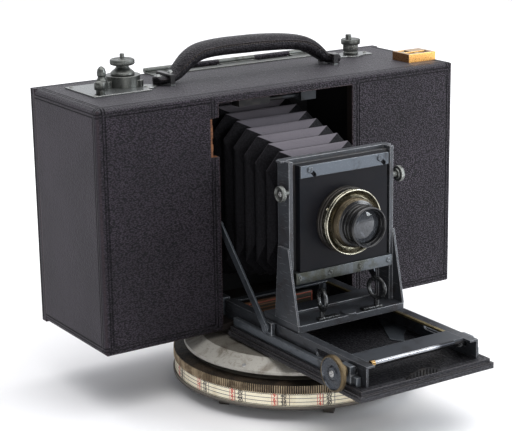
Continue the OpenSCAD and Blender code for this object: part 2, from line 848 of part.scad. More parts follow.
module track_racks() {
    pitch = PI * focus_module;
    teeth = floor((track_back - track_front - 14) / pitch);
    start = focus_y + pitch / 2 - pitch * floor((focus_y - track_front - 12) / pitch);
    flank = [[-0.28, 1.2], [-0.1, -0.85], [0.1, -0.85], [0.28, 1.2]];
    teeth_line = [for (i = [0:teeth - 3], f = flank)
        [start + (i + f[0]) * pitch, rack_z + f[1] * focus_module]];
    ends = [teeth_line[len(teeth_line) - 1][0], start - 0.28 * pitch];
    color("goldenrod") both() translate([rack_x, 0, 0]) rotate([90, 0, 90]) linear_extrude(rack_t)
        polygon(concat(teeth_line, [for (y = ends) [y, track_top - sheet_t]]));
}

module focus_shaft() {
    color("goldenrod") union() {
        rod_x(focus_r, -knob_x, 69.5, focus_y, focus_z);
        for (x = [-rack_x - rack_t, rack_x]) translate([x, focus_y, focus_z])
            rotate([90, 0, 90]) linear_extrude(rack_t)
                rotate(90) wheel(focus_teeth, focus_module);
    }
}

module focus_knob() {
    color("goldenrod") difference() {
        union() {
            rod_x(knob_r, -knob_x - 7, -knob_x - 1, focus_y, focus_z);
            rod_x(knob_r - 3, -knob_x - 8.2, -knob_x, focus_y, focus_z);
            rod_x(2 * focus_r, -knob_x, 6 - knob_x, focus_y, focus_z);
        }
        rod_x(focus_r + 0.01, -knob_x - 0.01, 7 - knob_x, focus_y, focus_z);
    }
}

// Standard: the carriage that carries the lens along the track

module standard_base() {
    color("darkslategray") {
        block([-60, up_front - 15.5, track_top + 0.1], [60, up_back + 25, base_top]);
        rod_z(7, [0, up_front - 10], base_top, base_top + 1.6);
    }
}

module standard_frame() {
    color("darkslategray") {
        both() block([up_in, up_front, base_top], [up_x, up_back, up_top]);
        block([-up_in, panel_y + 6.3, up_top - 10], [up_in, up_back, up_top]);
        both() block([up_x, up_front + 8, up_top - 1.6], [up_x + 3, up_back, up_top]);
        both() translate([up_x, 0, 0]) rotate([90, 0, 90]) linear_extrude(2) polygon([
            [up_front - 15.5, base_top], [up_back + 6, base_top],
            [up_back, z0 + 100], [up_front, z0 + 100]]);
        difference() {
            block([-up_x, up_back, base_top], [up_x, up_back + 2, up_top]);
            block([-42, up_back - 1, lens_z - 44], [42, up_back + 3, lens_z + 44]);
            // Open below the lens, between the foot and the bellows
            block([-up_in + 3, up_back - 1, base_top + 2], [up_in - 3, up_back + 3, lens_z - 57]);
        }
    }
}

module lens_carrier() {
    color("darkslategray") difference() {
        block([-up_in + gap, panel_y, z0 + 64], [up_in - gap, panel_y + 6, z0 + 177]);
        rod_y(24, panel_y - 1, panel_y + 7, 0, lens_z);
    }
}

module lens_board() {
    color("dimgray") difference() {
        block([-49, board_y, z0 + 77], [49, panel_y, z0 + 176]);
        rod_y(21, board_y - 1, panel_y + 1, 0, lens_z);
    }
}

module board_strip() {
    color("slategray") {
        block([-up_in + gap, board_y - sheet_t, z0 + 66.5], [up_in - gap, panel_y, z0 + 77]);
        for (x = [-50, -17, 17, 50]) rod_y(2.4, board_y - 2.8, board_y - sheet_t, x, z0 + 72);
        // Shoulder screws that the top strip slides on
        for (x = [-39, 39]) {
            rod_y(1.7, board_y - 2.2, board_y, x, latch_z);
            rod_y(3.6, board_y - 3.6, board_y - 2.2, x, latch_z);
        }
    }
}

module board_latch() {
    color("slategray") difference() {
        block([-49, board_y - 2, z0 + 165], [49, board_y - 0.1, z0 + 176]);
        for (x = [-39, 39]) translate([x, board_y, latch_z]) rotate([90, 45, 0]) {
            translate([0, -2, -1]) cube([7, 4, 6]);
            translate([0, 0, -1]) cylinder(r = 2, h = 6);
            translate([7, 0, -1]) cylinder(r = 2, h = 6);
        }
    }
}

module lens_barrel() {
    f = board_y - lens_front;
    color("dimgray") translate([0, board_y, lens_z]) rotate([90, 0, 0]) rotate_extrude() polygon([
        [glass_r + 0.02, -26], [20, -26], [20, 0], [flange_r, 0], [flange_r, lens_drum],
        [seat_r, lens_drum + 0.6], [seat_r, lens_drum + 9.6], [22, lens_drum + 10.4],
        [22, f * 0.55], [barrel_front_r - 0.6, f * 0.55 + 1],
        [barrel_front_r - 0.6, f - 5], [barrel_front_r, f - 4], [barrel_front_r, f - 1],
        [barrel_front_r - 1, f], [glass_r + 2.5, f],
        [glass_r + 0.02, f - 4]]);
}

module iris_ring() {
    color("darkgoldenrod") translate([0, board_y, lens_z]) rotate([90, 0, 0]) difference() {
        union() {
            translate([0, 0, lens_drum + 1]) cylinder(r = iris_r - 2, h = 8.4);
            translate([0, 0, lens_drum + 6]) cylinder(r = iris_r, h = 3.4);
            rotate(150) translate([iris_r + 1, 0, lens_drum + 4]) rotate([0, -90, 0]) cylinder(r = 1.3, h = 4);
        }
        translate([0, 0, lens_drum]) cylinder(r = seat_r + slip, h = 12);
    }
}

module lens_glass() {
    f = board_y - lens_front;
    color("lightcyan") for (z = [f - 13, -22]) translate([0, board_y, lens_z]) rotate([90, 0, 0])
        translate([0, 0, z]) cylinder(r = glass_r, h = 5);
}

module rise_knob() {
    y = up_front + 2;
    z = z0 + 152;
    rod_x(2.5, up_x, 64, y, z);
    rod_x(7.5, 64, 68.6, y, z);
    rod_x(5, 62.5, 64, y, z);
}

module rise_knob_left() {
    color("slategray") mirror([1, 0, 0]) rise_knob();
}

module rise_knob_right() {
    color("slategray") rise_knob();
}

// Finger ring on a foot that slides across the base to free the standard
module clamp_ring() {
    at = [31, up_front - 11.6, base_top + 19];
    union() {
        translate(at) rotate([0, 0, 14]) rotate([0, 90, 0]) rotate_extrude() translate([9.4, 0]) circle(2);
        rod_z(2.6, at, base_top + 2, base_top + 9);
        translate([at[0], at[1], base_top + 0.1]) block([-17, -3, 0], [5, 3, 2.2]);
    }
}

module clamp_ring_left() {
    color("dimgray") mirror([1, 0, 0]) clamp_ring();
}

module clamp_ring_right() {
    color("dimgray") clamp_ring();
}

turntable_base();
gear_ring();
scale_band();
spindle();
turntable_disc();
bottom_board();
top_board();
left_board();
right_board();
front_boards();
leather_cover();
chamber_walls();
slit_board();
bellows_frame();
bellows();
bed_board();
bed_hinge();
guide_rails();
bed_struts();
bed_catch();
handle();
top_plates();
supply_collar();
level_frame();
level_vials();
door_hinge();
side_catch();
motor_plate();
drive_shaft();
drive_pinion();
film_drum();
drum_wheel();
spring_barrel();
governor();
take_up_spool();
supply_spool();
supply_knob();
winding_key();
punch_button();
brake_screw();
back_door();
side_button();
track_rails();
track_bars();
track_racks();
focus_shaft();
focus_knob();
standard_base();
standard_frame();
lens_carrier();
lens_board();
board_strip();
board_latch();
lens_barrel();
iris_ring();
lens_glass();
rise_knob_left();
rise_knob_right();
clamp_ring_left();
clamp_ring_right();
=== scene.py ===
# Folding panoramic camera on a geared turntable, dressed piece by piece in the order in
# which it is put together. Metres, +Z up, the lens looks toward -Y.
import math

import bmesh
import bpy
from mathutils import Matrix, Vector


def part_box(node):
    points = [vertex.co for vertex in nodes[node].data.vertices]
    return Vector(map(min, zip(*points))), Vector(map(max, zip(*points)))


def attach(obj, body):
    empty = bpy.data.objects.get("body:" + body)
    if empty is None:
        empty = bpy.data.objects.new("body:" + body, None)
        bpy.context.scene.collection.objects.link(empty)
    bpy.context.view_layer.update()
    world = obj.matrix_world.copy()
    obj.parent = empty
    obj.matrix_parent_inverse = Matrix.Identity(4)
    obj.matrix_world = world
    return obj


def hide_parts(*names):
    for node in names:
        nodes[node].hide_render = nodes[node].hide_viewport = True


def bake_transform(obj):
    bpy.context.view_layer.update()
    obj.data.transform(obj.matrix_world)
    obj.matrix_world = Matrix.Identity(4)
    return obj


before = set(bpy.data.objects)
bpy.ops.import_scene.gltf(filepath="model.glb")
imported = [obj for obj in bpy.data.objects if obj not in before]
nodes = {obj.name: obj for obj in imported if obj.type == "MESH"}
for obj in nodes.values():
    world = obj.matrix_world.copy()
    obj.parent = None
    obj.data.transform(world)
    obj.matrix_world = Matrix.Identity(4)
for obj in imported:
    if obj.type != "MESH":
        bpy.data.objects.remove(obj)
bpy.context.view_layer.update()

# The view: a long lens from the front left and a little above, with a slight roll.
# The camera stands on a wide white sheet under a broad soft box, with two weaker ones in front.
target = Vector((-0.0373, 0.012, 0.1659))
azimuth = math.radians(-32.77)
elevation = math.radians(15.21)
roll = math.radians(-0.91)
distance = 1.5082
back = Vector((math.sin(azimuth) * math.cos(elevation),
               -math.cos(azimuth) * math.cos(elevation), math.sin(elevation)))
right = Vector((math.cos(azimuth), math.sin(azimuth), 0))
up = back.cross(right)
across = right * math.cos(roll) + up * math.sin(roll)
upright = up * math.cos(roll) - right * math.sin(roll)
lens = bpy.data.cameras.new("view")
lens.lens = 111.55
lens.sensor_width = 36
lens.sensor_fit = "HORIZONTAL"
view = bpy.data.objects.new("view", lens)
view.matrix_world = Matrix([
    (across[i], upright[i], back[i], target[i] + distance * back[i]) for i in range(3)] + [(0, 0, 0, 1)])
bpy.context.scene.collection.objects.link(view)
bpy.context.scene.camera = view
bpy.context.scene.view_settings.view_transform = "Standard"


def put(tree, kind, inputs=None, **settings):
    """Adds a shader node; an input is a socket to link or a value to set."""
    made = tree.nodes.new("ShaderNode" + kind)
    for key, value in settings.items():
        setattr(made, key, value)
    for key, value in (inputs or {}).items():
        if isinstance(value, bpy.types.NodeSocket):
            tree.links.new(value, made.inputs[key])
        else:
            made.inputs[key].default_value = value
    return made


def join(kind, inputs, **settings):
    """Adds a shader node to the tree of the sockets that lead to it, and gives its outputs."""
    tree = next(v.id_data for v in inputs.values() if isinstance(v, bpy.types.NodeSocket))
    return put(tree, kind, inputs, **settings).outputs


def mix(share, first, second, blend="MIX"):
    """Two colours mixed by a share; each is a socket or three numbers."""
    inputs = {0: share}
    for slot, colour in ((6, first), (7, second)):
        inputs[slot] = colour if isinstance(colour, bpy.types.NodeSocket) else (*colour, 1)
    return join("Mix", inputs, data_type="RGBA", blend_type=blend)[2]


def ramp(value, low, high, out_low=0.0, out_high=1.0):
    """A value carried smoothly from one range to another."""
    return join("MapRange", {0: value, 1: low, 2: high, 3: out_low, 4: out_high},
                interpolation_type="SMOOTHSTEP")[0]


def finish_of(name, **plain):
    """A new material with the values that are the same all over its surface."""
    made = bpy.data.materials.new(name)
    made.use_nodes = True
    shader = made.node_tree.nodes["Principled BSDF"]
    for key, value in plain.items():
        shader.inputs[key.replace("_", " ")].default_value = value
    return made, made.node_tree, shader


def wire(shader, **sockets):
    """Links sockets to the inputs of a shader."""
    for key, socket in sockets.items():
        shader.id_data.links.new(socket, shader.inputs[key.replace("_", " ")])


def reopen(finish):
    """The nodes of a finish, its shader and the colour that it has so far."""
    shader = finish.node_tree.nodes["Principled BSDF"]
    return finish.node_tree, shader, shader.inputs["Base Color"].links[0].from_socket


def place_of(tree):
    """The point on the surface, in the shared frame."""
    return put(tree, "TexCoord").outputs["Object"]


def parts_of(whole):
    """The x, y and z of a vector."""
    return join("SeparateXYZ", {0: whole})


def vector(operation, *values):
    """One step of arithmetic on vectors."""
    return join("VectorMath", dict(enumerate(values)), operation=operation)


def noise(place, **inputs):
    """A noise laid out from a place."""
    return join("TexNoise", {"Vector": place, **inputs})


def mottled(name, first, second, scale, detail=2.0, **plain):
    """A finish of two tones, mixed by a noise over the piece's own box."""
    made, tree, shader = finish_of(name, **plain)
    share = put(tree, "TexNoise", {"Scale": scale, "Detail": detail}).outputs["Fac"]
    wire(shader, Base_Color=mix(share, first, second))
    return made


def soft_light(name, place, aim, size, power, tint):
    """A rectangular lamp aimed at a point."""
    lamp = bpy.data.lights.new(name, "AREA")
    lamp.shape = "RECTANGLE"
    lamp.size, lamp.size_y = size
    lamp.energy = power
    lamp.color = tint
    held = bpy.data.objects.new(name, lamp)
    held.location = place
    held.rotation_mode = "QUATERNION"
    held.rotation_quaternion = (Vector(aim) - Vector(place)).to_track_quat("-Z", "Y")
    bpy.context.scene.collection.objects.link(held)


sheet_half = 14
sheet_mesh = bpy.data.meshes.new("studio_sheet")
sheet_corners = [(x * sheet_half, y * sheet_half, 0) for x, y in ((-1, -1), (1, -1), (1, 1), (-1, 1))]
sheet_mesh.from_pydata(sheet_corners, [], [(0, 1, 2, 3)])
studio_sheet = bpy.data.objects.new("studio_sheet", sheet_mesh)
bpy.context.scene.collection.objects.link(studio_sheet)
sheet_finish = mottled(
    "sheet_paper", (0.83, 0.83, 0.845), (0.86, 0.86, 0.87), 3.0, 4.0, Roughness=0.9,
    Emission_Strength=0.46)
tree, shader, _ = reopen(sheet_finish)
away = vector("LENGTH", place_of(tree))["Value"]
wire(shader, Emission_Color=ramp(away, 0.2, 1.2))
sheet_mesh.materials.append(sheet_finish)
studio = bpy.data.worlds.new("studio")
bpy.context.scene.world = studio
studio.use_nodes = True
sky = studio.node_tree
background = sky.nodes["Background"]
background.inputs["Color"].default_value = (0.95, 0.965, 1.0, 1)
rearward = parts_of(put(sky, "TexCoord").outputs["Generated"])[1]
wire(background, Strength=ramp(rearward, 0.1, 0.8, 0.33, 1.25))
soft_light("overhead", (0.12, -0.05, 1.7), (0.02, 0.0, 0.2), (2.3, 2.1), 43, (1, 0.99, 0.985))
soft_light("right_box", (1.15, -1.0, 0.75), (0.12, 0.02, 0.17), (0.7, 0.9), 21, (0.92, 0.96, 1))
soft_light("front_box", (-0.45, -1.7, 0.4), (-0.02, -0.05, 0.08), (0.8, 0.6), 7, (1, 0.985, 0.97))

# Turntable casting: the grey cast head that stays on the tripod, with a lip under the scale
# and lugs for the legs. Bare cast metal, dulled and stained in blotches, with painted shade below the lip.


def calc(operation, *values):
    """One step of arithmetic on sockets and numbers."""
    return join("Math", dict(enumerate(values)), operation=operation)[0]


def times(first, second):
    """The product of two sockets or numbers."""
    return calc("MULTIPLY", first, second)


def normal_of(tree):
    """The way the surface faces."""
    return put(tree, "NewGeometry").outputs["Normal"]


def start_group(name, inputs, outputs):
    """A shader node group with its sockets; gives the group, its inputs and its outputs."""
    group = bpy.data.node_groups.new(name, "ShaderNodeTree")
    for label, kind, value in inputs:
        socket = group.interface.new_socket(label, in_out="INPUT", socket_type="NodeSocket" + kind)
        socket.default_value = value
    for label, kind in outputs:
        group.interface.new_socket(label, in_out="OUTPUT", socket_type="NodeSocket" + kind)
    given, made = group.nodes.new("NodeGroupInput"), group.nodes.new("NodeGroupOutput")
    return group, given.outputs, made.inputs


# Handled edges rub bright: the mask follows the edges, broken up by a fine noise.
worn_edge, given, made = start_group(
    "worn_edge",
    [("Radius", "Float", 0.001), ("Grain", "Float", 250.0), ("Amount", "Float", 0.5)],
    [("Mask", "Float"), ("Normal", "Vector")])
tree = worn_edge
rounded = join("Bevel", {"Radius": given["Radius"]}, samples=6)[0]
alike = vector("DOT_PRODUCT", rounded, normal_of(tree))["Value"]
rub = noise(place_of(tree), Scale=given["Grain"], Detail=3.0)["Fac"]
bare = times(calc("SUBTRACT", 1.0, alike), 5.0)
bare = times(bare, calc("ADD", rub, given["Amount"]))
tree.links.new(ramp(bare, 0.25, 0.85), made["Mask"])
tree.links.new(rounded, made["Normal"])

# Old metal is never even: broad blotches, a fine speckle for the gloss, and thin scratches.
tarnish, given, made = start_group(
    "tarnish",
    [("Blotch", "Float", 40.0), ("Speckle", "Float", 900.0), ("Spread", "Float", 0.5)],
    [("Mask", "Float"), ("Fine", "Float"), ("Scratch", "Float")])
tree = tarnish
place = place_of(tree)
broad = noise(place, Scale=given["Blotch"], Detail=6.0, Roughness=0.65, Distortion=0.6)["Fac"]
low = calc("SUBTRACT", 0.75, times(given["Spread"], 0.5))
leaning = join("Mapping", {"Vector": place, "Rotation": (0.5, 0.7, 0.4), "Scale": (1.0, 0.06, 1.0)})[0]
lines = noise(leaning, Scale=1400.0, Detail=1.0)["Fac"]
tree.links.new(ramp(broad, low, calc("ADD", low, 0.2)), made["Mask"])
tree.links.new(noise(place, Scale=given["Speckle"], Detail=2.0)["Fac"], made["Fine"])
tree.links.new(ramp(lines, 0.66, 0.72), made["Scratch"])


def aged(tree, blotch, spread=0.5):
    """The masks of tarnish: Mask, Fine and Scratch."""
    return put(tree, "Group", {"Blotch": blotch, "Spread": spread}, node_tree=tarnish).outputs


def edges_of(tree, radius, wear, grain=250.0):
    """The Mask and the Normal of worn edges."""
    return put(tree, "Group", {"Radius": radius, "Amount": wear, "Grain": grain},
               node_tree=worn_edge).outputs


def bumped(height, distance, strength, normal=None):
    """A normal raised by a height."""
    inputs = {"Strength": strength, "Distance": distance, "Height": height}
    if normal is not None:
        inputs["Normal"] = normal
    return join("Bump", inputs)[0]


def old_metal(name, colour, stain, bright, metallic=0.8, rough=(0.3, 0.5), radius=0.0008, wear=0.35,
              blotch=40.0, spread=0.5, bump=0.00006, scratch=0.25, rubbed_to=None):
    """Metal with stained patches, edges rubbed bright, thin scratches and a fine uneven surface.
    Its edges are rubbed all over, or only as far back as rubbed_to."""
    made, tree, shader = finish_of(name, Metallic=metallic)
    age, edge = aged(tree, blotch, spread), edges_of(tree, radius, wear)
    stained = mix(age["Mask"], colour, stain)
    bare = calc("MAXIMUM", edge["Mask"], times(age["Scratch"], scratch))
    if rubbed_to is not None:
        depth = parts_of(place_of(tree))[1]
        bare = times(bare, calc("LESS_THAN", depth, rubbed_to))
    gloss = join("MapRange", {0: age["Fine"], 1: 0.3, 2: 0.7, 3: rough[0], 4: rough[1]})[0]
    wire(shader, Base_Color=mix(bare, stained, bright), Roughness=gloss,
         Normal=bumped(age["Fine"], bump, 0.6, edge["Normal"]))
    return made


def dress(finish, *names):
    """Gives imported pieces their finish."""
    for name in names:
        nodes[name].data.materials.clear()
        nodes[name].data.materials.append(finish)


casting = old_metal(
    "dull_casting", (0.145, 0.132, 0.11), (0.05, 0.042, 0.034), (0.3, 0.28, 0.235), metallic=0.15,
    rough=(0.5, 0.75), blotch=55, bump=0.0002)
tree, shader, clean = reopen(casting)
# Painted shade: below the lip the casting is darkened.
painted_shade_below_lip = ramp(parts_of(place_of(tree))[2], 0.0145, 0.0125)
wire(shader, Base_Color=mix(painted_shade_below_lip, clean, (0.055, 0.047, 0.04)))
dress(casting, "turntable_base")
steel = old_metal("turned_steel", (0.36, 0.36, 0.36), (0.16, 0.14, 0.12), (0.7, 0.7, 0.7), metallic=1.0)
dress(steel, "spindle")

# Gear ring: bronze, with a fine tooth cut all round. The tips are rubbed bright; the roots and
# the flat inside them are painted dark as the shade under the disc.
gear_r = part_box("gear_ring")[1].x
bronze, tree, shader = finish_of("greasy_bronze", Metallic=0.5)
spoke = vector("MULTIPLY", place_of(tree), (1, 1, 0))[0]
tip = ramp(vector("LENGTH", spoke)["Value"], gear_r - 0.0014, gear_r - 0.0002)
age = aged(tree, 60.0, 0.7)
# Painted shade: inside the tooth tips the ring is dark brown, as the shade under the disc.
shaded_body_tone = mix(age["Mask"], (0.062, 0.044, 0.029), (0.02, 0.015, 0.011))
tooth_tone = mix(age["Mask"], (0.52, 0.42, 0.28), (0.22, 0.16, 0.1))
wire(shader, Base_Color=mix(tip, shaded_body_tone, tooth_tone),
     Roughness=ramp(age["Fine"], 0.3, 0.7, 0.4, 0.62))
dress(bronze, "gear_ring")

# Scale: a cream celluloid band round the casting, ruled with black lines into three rows.
# Every twenty degrees stand small red and black numbers between cross lines.
scale_low, scale_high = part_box("scale_band")
scale_r, scale_h = scale_high.x, scale_high.z - scale_low.z
rows, line_in, line_half, number_size = 3, 0.0007, 0.00026, 0.0052
row_h = scale_h / rows
ivory, tree, shader = finish_of("cream_celluloid", Roughness=0.38)
height = parts_of(place_of(tree))[2]
age = aged(tree, 35.0, 0.55)
cream = mix(age["Mask"], (0.93, 0.86, 0.67), (0.74, 0.63, 0.44))
cream = mix(times(age["Scratch"], 0.5), cream, (0.3, 0.23, 0.15))
ruled = 0.0
for k in range(rows + 1):
    line_z = scale_low.z + line_in + k * (scale_h - 2 * line_in) / rows
    off = calc("ABSOLUTE", calc("SUBTRACT", height, line_z))
    ruled = calc("MAXIMUM", ruled, calc("LESS_THAN", off, line_half))
wire(shader, Base_Color=mix(ruled, cream, (0.045, 0.038, 0.034)))
dress(ivory, "scale_band")
black_ink = mottled("black_ink", (0.02, 0.02, 0.02), (0.12, 0.1, 0.08), 700.0, Roughness=0.6)
red_ink = mottled("red_ink", (0.62, 0.045, 0.035), (0.66, 0.16, 0.12), 700.0, Roughness=0.6)


def digit_shape(text, size):
    """Flat mesh of a number: corners about its own middle, and faces."""
    curve = bpy.data.curves.new("number", "FONT")
    curve.body = text
    curve.size = size
    curve.offset = size * 0.04
    curve.align_x = curve.align_y = "CENTER"
    curve.resolution_u = 2
    held = bpy.data.objects.new("number", curve)
    bpy.context.scene.collection.objects.link(held)
    bpy.context.view_layer.update()
    shape = bpy.data.meshes.new_from_object(
        held.evaluated_get(bpy.context.evaluated_depsgraph_get()))
    corners = [v.co.copy() for v in shape.vertices]
    faces = [tuple(p.vertices) for p in shape.polygons]
    bpy.data.objects.remove(held)
    bpy.data.curves.remove(curve)
    bpy.data.meshes.remove(shape)
    return corners, faces


def keep_piece(name, bm, finishes, body, smooth=None, closed=True):
    """A new piece from a mesh in the making; smooth is the angle that stays soft."""
    if closed:
        bmesh.ops.remove_doubles(bm, verts=bm.verts, dist=1e-6)
        bmesh.ops.recalc_face_normals(bm, faces=bm.faces)
    mesh = bpy.data.meshes.new(name)
    bm.to_mesh(mesh)
    bm.free()
    for finish in finishes:
        mesh.materials.append(finish)
    if smooth is not None:
        mesh.shade_smooth()
        mesh.set_sharp_from_angle(angle=math.radians(smooth))
    piece = bpy.data.objects.new(name, mesh)
    bpy.context.scene.collection.objects.link(piece)
    if body:
        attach(piece, body)
    return piece


def on_band(u, v):
    """A point of the unrolled scale, u round it and v up it, set on the band."""
    a = u / scale_r
    r = scale_r + 0.00004
    return (r * math.cos(a), r * math.sin(a), v)


inks = {"red": bmesh.new(), "black": bmesh.new()}


def ink(colour, corners, faces):
    """Adds flat faces to what is printed in one colour."""
    verts = [inks[colour].verts.new(c) for c in corners]
    for f in faces:
        inks[colour].faces.new([verts[i] for i in f])


def rule_line(colour, u, half, low, high):
    """One upright line on the scale."""
    ink(colour, [on_band(u + s, v) for s, v in ((-half, low), (half, low), (half, high), (-half, high))],
        [(0, 1, 2, 3)])


digits = {n: digit_shape(str(n), number_size) for n in [*range(1, 10), *range(10, 55, 5)]}
for group in range(18):
    middle = math.radians(group * 20 + 7) * scale_r
    for side, colour in ((-0.005, "red"), (-0.0002, "red"), (0.0006, "black"), (0.0112, "black")):
        rule_line(colour, middle + side, 0.00025, scale_low.z + 0.0006, scale_high.z - 0.0006)
    for row in range(rows):
        z = scale_low.z + (row + 0.5) * row_h
        for shift, colour, number in ((-0.0026, "red", (group + row * 3) % 9 + 1),
                                      (0.0059, "black", (group * 2 + row) % 9 * 5 + 10)):
            corners, faces = digits[number]
            ink(colour, [on_band(middle + shift + c.x, z + c.y) for c in corners], faces)
for degree in range(0, 360, 2):
    tall = row_h * (0.5 if degree % 10 == 0 else 0.26)
    rule_line("black", math.radians(degree) * scale_r, 0.00012, scale_high.z - tall, scale_high.z)
keep_piece("scale_red_numbers", inks["red"], [red_ink], "turntable", closed=False)
keep_piece("scale_black_numbers", inks["black"], [black_ink], "turntable", closed=False)

# Turning disc: a bevelled plate of worn white metal on the spindle, with the block that
# carries the case. Its flat is a darker tone than its bevel, brown stains lie on both, and
# screws stand round its bevel.
disc_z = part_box("turntable_disc")[0].z
disc_metal, tree, shader = finish_of("worn_white_metal", Metallic=0.2)
age, spots = aged(tree, 34.0, 0.62), aged(tree, 130.0, 0.45)
edge = edges_of(tree, 0.0012, 0.3)
flat_top = ramp(parts_of(normal_of(tree))[2], 0.93, 0.98)
rim_tone = mix(age["Mask"], (0.42, 0.405, 0.365), (0.2, 0.178, 0.145))
flat_tone = mix(age["Mask"], (0.175, 0.163, 0.14), (0.05, 0.037, 0.026))
tone = mix(flat_top, rim_tone, flat_tone)
tone = mix(times(spots["Mask"], 0.6), tone, (0.11, 0.085, 0.06))
tone = mix(edge["Mask"], tone, (0.62, 0.6, 0.55))
tone = mix(times(age["Scratch"], 0.35), tone, (0.12, 0.1, 0.08))
wire(shader, Base_Color=tone, Roughness=ramp(age["Fine"], 0.3, 0.7, 0.38, 0.62),
     Normal=bumped(age["Fine"], 0.0002, 0.5, edge["Normal"]))
dress(disc_metal, "turntable_disc")


def join_rings(bm, rings, ends=(0, -1)):
    """Faces between closed rings of corners, one after another, and over the rings named as ends."""
    rings = [[bm.verts.new(c) for c in ring] for ring in rings]
    for lower, upper in zip(rings, rings[1:]):
        for i in range(len(lower)):
            j = (i + 1) % len(lower)
            bm.faces.new((lower[i], lower[j], upper[j], upper[i]))
    for k in ends:
        bm.faces.new(rings[k] if k else rings[k][::-1])


def screw_heads(name, spots, finish, body):
    """Slotted screw heads; each spot is a point, the way it faces, a radius and the slot's turn."""
    sides, arc_points = 20, 10
    bm = bmesh.new()
    for point, outward, radius, turn in spots:
        n = Vector(outward).normalized()
        u = Matrix.Rotation(math.radians(turn), 3, n) @ n.orthogonal().normalized()
        v = n.cross(u)
        half, tall = radius * 0.17, radius * 0.42

        def at(x, y, h):
            return Vector(point) + u * x + v * y + n * h

        whole = [2 * math.pi * i / sides for i in range(sides)]
        join_rings(bm, [[at(radius * math.cos(a), radius * math.sin(a), h) for a in whole]
                        for h in (-0.0002, tall * 0.3)], ends=[-1])
        first = math.asin(half / radius)
        arc = [first + (math.pi - 2 * first) * i / (arc_points - 1) for i in range(arc_points)]
        for sign in (1, -1):
            rim = [(radius * math.cos(a) * sign, radius * math.sin(a) * sign) for a in arc]
            join_rings(bm, [
                [at(x, y, tall * 0.3) for x, y in rim], [at(x, y, tall * 0.6) for x, y in rim],
                [at(x * 0.8, max(half, abs(y) * 0.8) * sign, tall) for x, y in rim]], ends=[-1])
    bmesh.ops.recalc_face_normals(bm, faces=bm.faces)
    return keep_piece(name, bm, [finish], body, closed=False)


bevel_out, on_bevel, first_turn = Vector((0.447, 0, 0.894)), Vector((0.1062, 0, disc_z + 0.005)), 208.5
spots = []
for k in range(6):
    turn = Matrix.Rotation(math.radians(first_turn + 60 * k), 3, "Z")
    spots.append((turn @ on_bevel, turn @ bevel_out, 0.0019, 40 * k))
screw_heads("disc_screws", spots, steel, "camera")

# Case boards: mahogany, dovetailed into a box and stained black inside. Raw wood shows only
# in the notch that clears the focus knob.


def wood_rings(tree, stretch, detail=5.0, distortion=0.8):
    """Wood grain: a noise drawn out along the board."""
    drawn = vector("MULTIPLY", place_of(tree), stretch)[0]
    return noise(drawn, Scale=1.0, Detail=detail, Distortion=distortion)["Fac"]


black_stain, tree, shader = finish_of("black_stained_mahogany", Roughness=0.6, Specular_IOR_Level=0.3)
rings = wood_rings(tree, (18.0, 260.0, 260.0))
stained = mix(rings, (0.004, 0.0035, 0.0035), (0.014, 0.009, 0.007))
raw = mix(ramp(rings, 0.3, 0.7), (0.055, 0.021, 0.01), (0.17, 0.07, 0.028))
spot = parts_of(place_of(tree))
in_notch = 1.0
for axis, low, high in ((0, -0.09, -0.0768), (1, 0.0, 0.045), (2, 0.222, 0.272)):
    in_notch = times(in_notch, calc("GREATER_THAN", spot[axis], low))
    in_notch = times(in_notch, calc("LESS_THAN", spot[axis], high))
wire(shader, Base_Color=mix(in_notch, stained, raw), Normal=bumped(rings, 0.0002, 0.4))
dress(black_stain, "bottom_board", "top_board", "left_board", "right_board", "front_boards")

# Leather covering: black pebbled goatskin glued round the case and over the back door, tooled
# with a double line along every border and rubbed brown on the edges.

# Pebbled skin: small raised cells, drawn out a little one way, with fine creases between.
pebbled_skin, given, made = start_group(
    "pebbled_skin",
    [("Scale", "Float", 480.0), ("Stretch", "Vector", (1.0, 1.0, 1.0))],
    [("Height", "Float"), ("Shade", "Float"), ("Crown", "Float")])
tree = pebbled_skin
place = place_of(tree)
wander = noise(place, Scale=180.0, Detail=2.0)["Color"]
drawn = vector("MULTIPLY_ADD", wander, (0.001, 0.001, 0.001), place)[0]
drawn = vector("MULTIPLY", drawn, given["Stretch"])[0]
cells = join("TexVoronoi", {"Vector": drawn, "Scale": given["Scale"]}, feature="F1")
domes = ramp(cells["Distance"], 0.8, 0.1)
pores = noise(place, Scale=2600.0, Detail=2.0)["Fac"]
swell = noise(drawn, Scale=210.0, Detail=2.0)["Fac"]
skin = calc("ADD", domes, times(pores, 0.3))
skin = calc("ADD", skin, times(swell, 0.5))
tones = noise(place, Scale=14.0, Detail=5.0, Roughness=0.6)["Fac"]
for label, socket in (("Height", skin), ("Shade", tones), ("Crown", domes)):
    tree.links.new(socket, made[label])

# Tooled border: two grooves that run round each flat side of a box, a set way in from its
# edges, and on its front also beside an opening of a given half width.
tooled_border, given, made = start_group(
    "tooled_border",
    [("Low", "Vector", (0.0, 0.0, 0.0)), ("High", "Vector", (1.0, 1.0, 1.0)), ("Opening", "Float", 0.0),
     ("Inset", "Float", 0.005), ("Pitch", "Float", 0.003), ("Width", "Float", 0.0011)],
    [("Groove", "Float")])
tree, far = tooled_border, 9.0
spot = parts_of(place_of(tree))
lows, highs = parts_of(given["Low"]), parts_of(given["High"])
turned_to = parts_of(vector("ABSOLUTE", normal_of(tree))[0])
inward = far
for axis in range(3):
    from_edge = calc("MINIMUM", calc("SUBTRACT", spot[axis], lows[axis]),
                     calc("SUBTRACT", highs[axis], spot[axis]))
    if axis == 0:
        beside = calc("SUBTRACT", calc("ABSOLUTE", spot[0]), given["Opening"])
        aside = times(calc("SUBTRACT", 1.0, turned_to[1]), far)
        from_edge = calc("MINIMUM", from_edge, calc("ADD", beside, aside))
    from_edge = calc("ADD", from_edge, times(turned_to[axis], far))
    inward = calc("MINIMUM", inward, from_edge)
groove = 0.0
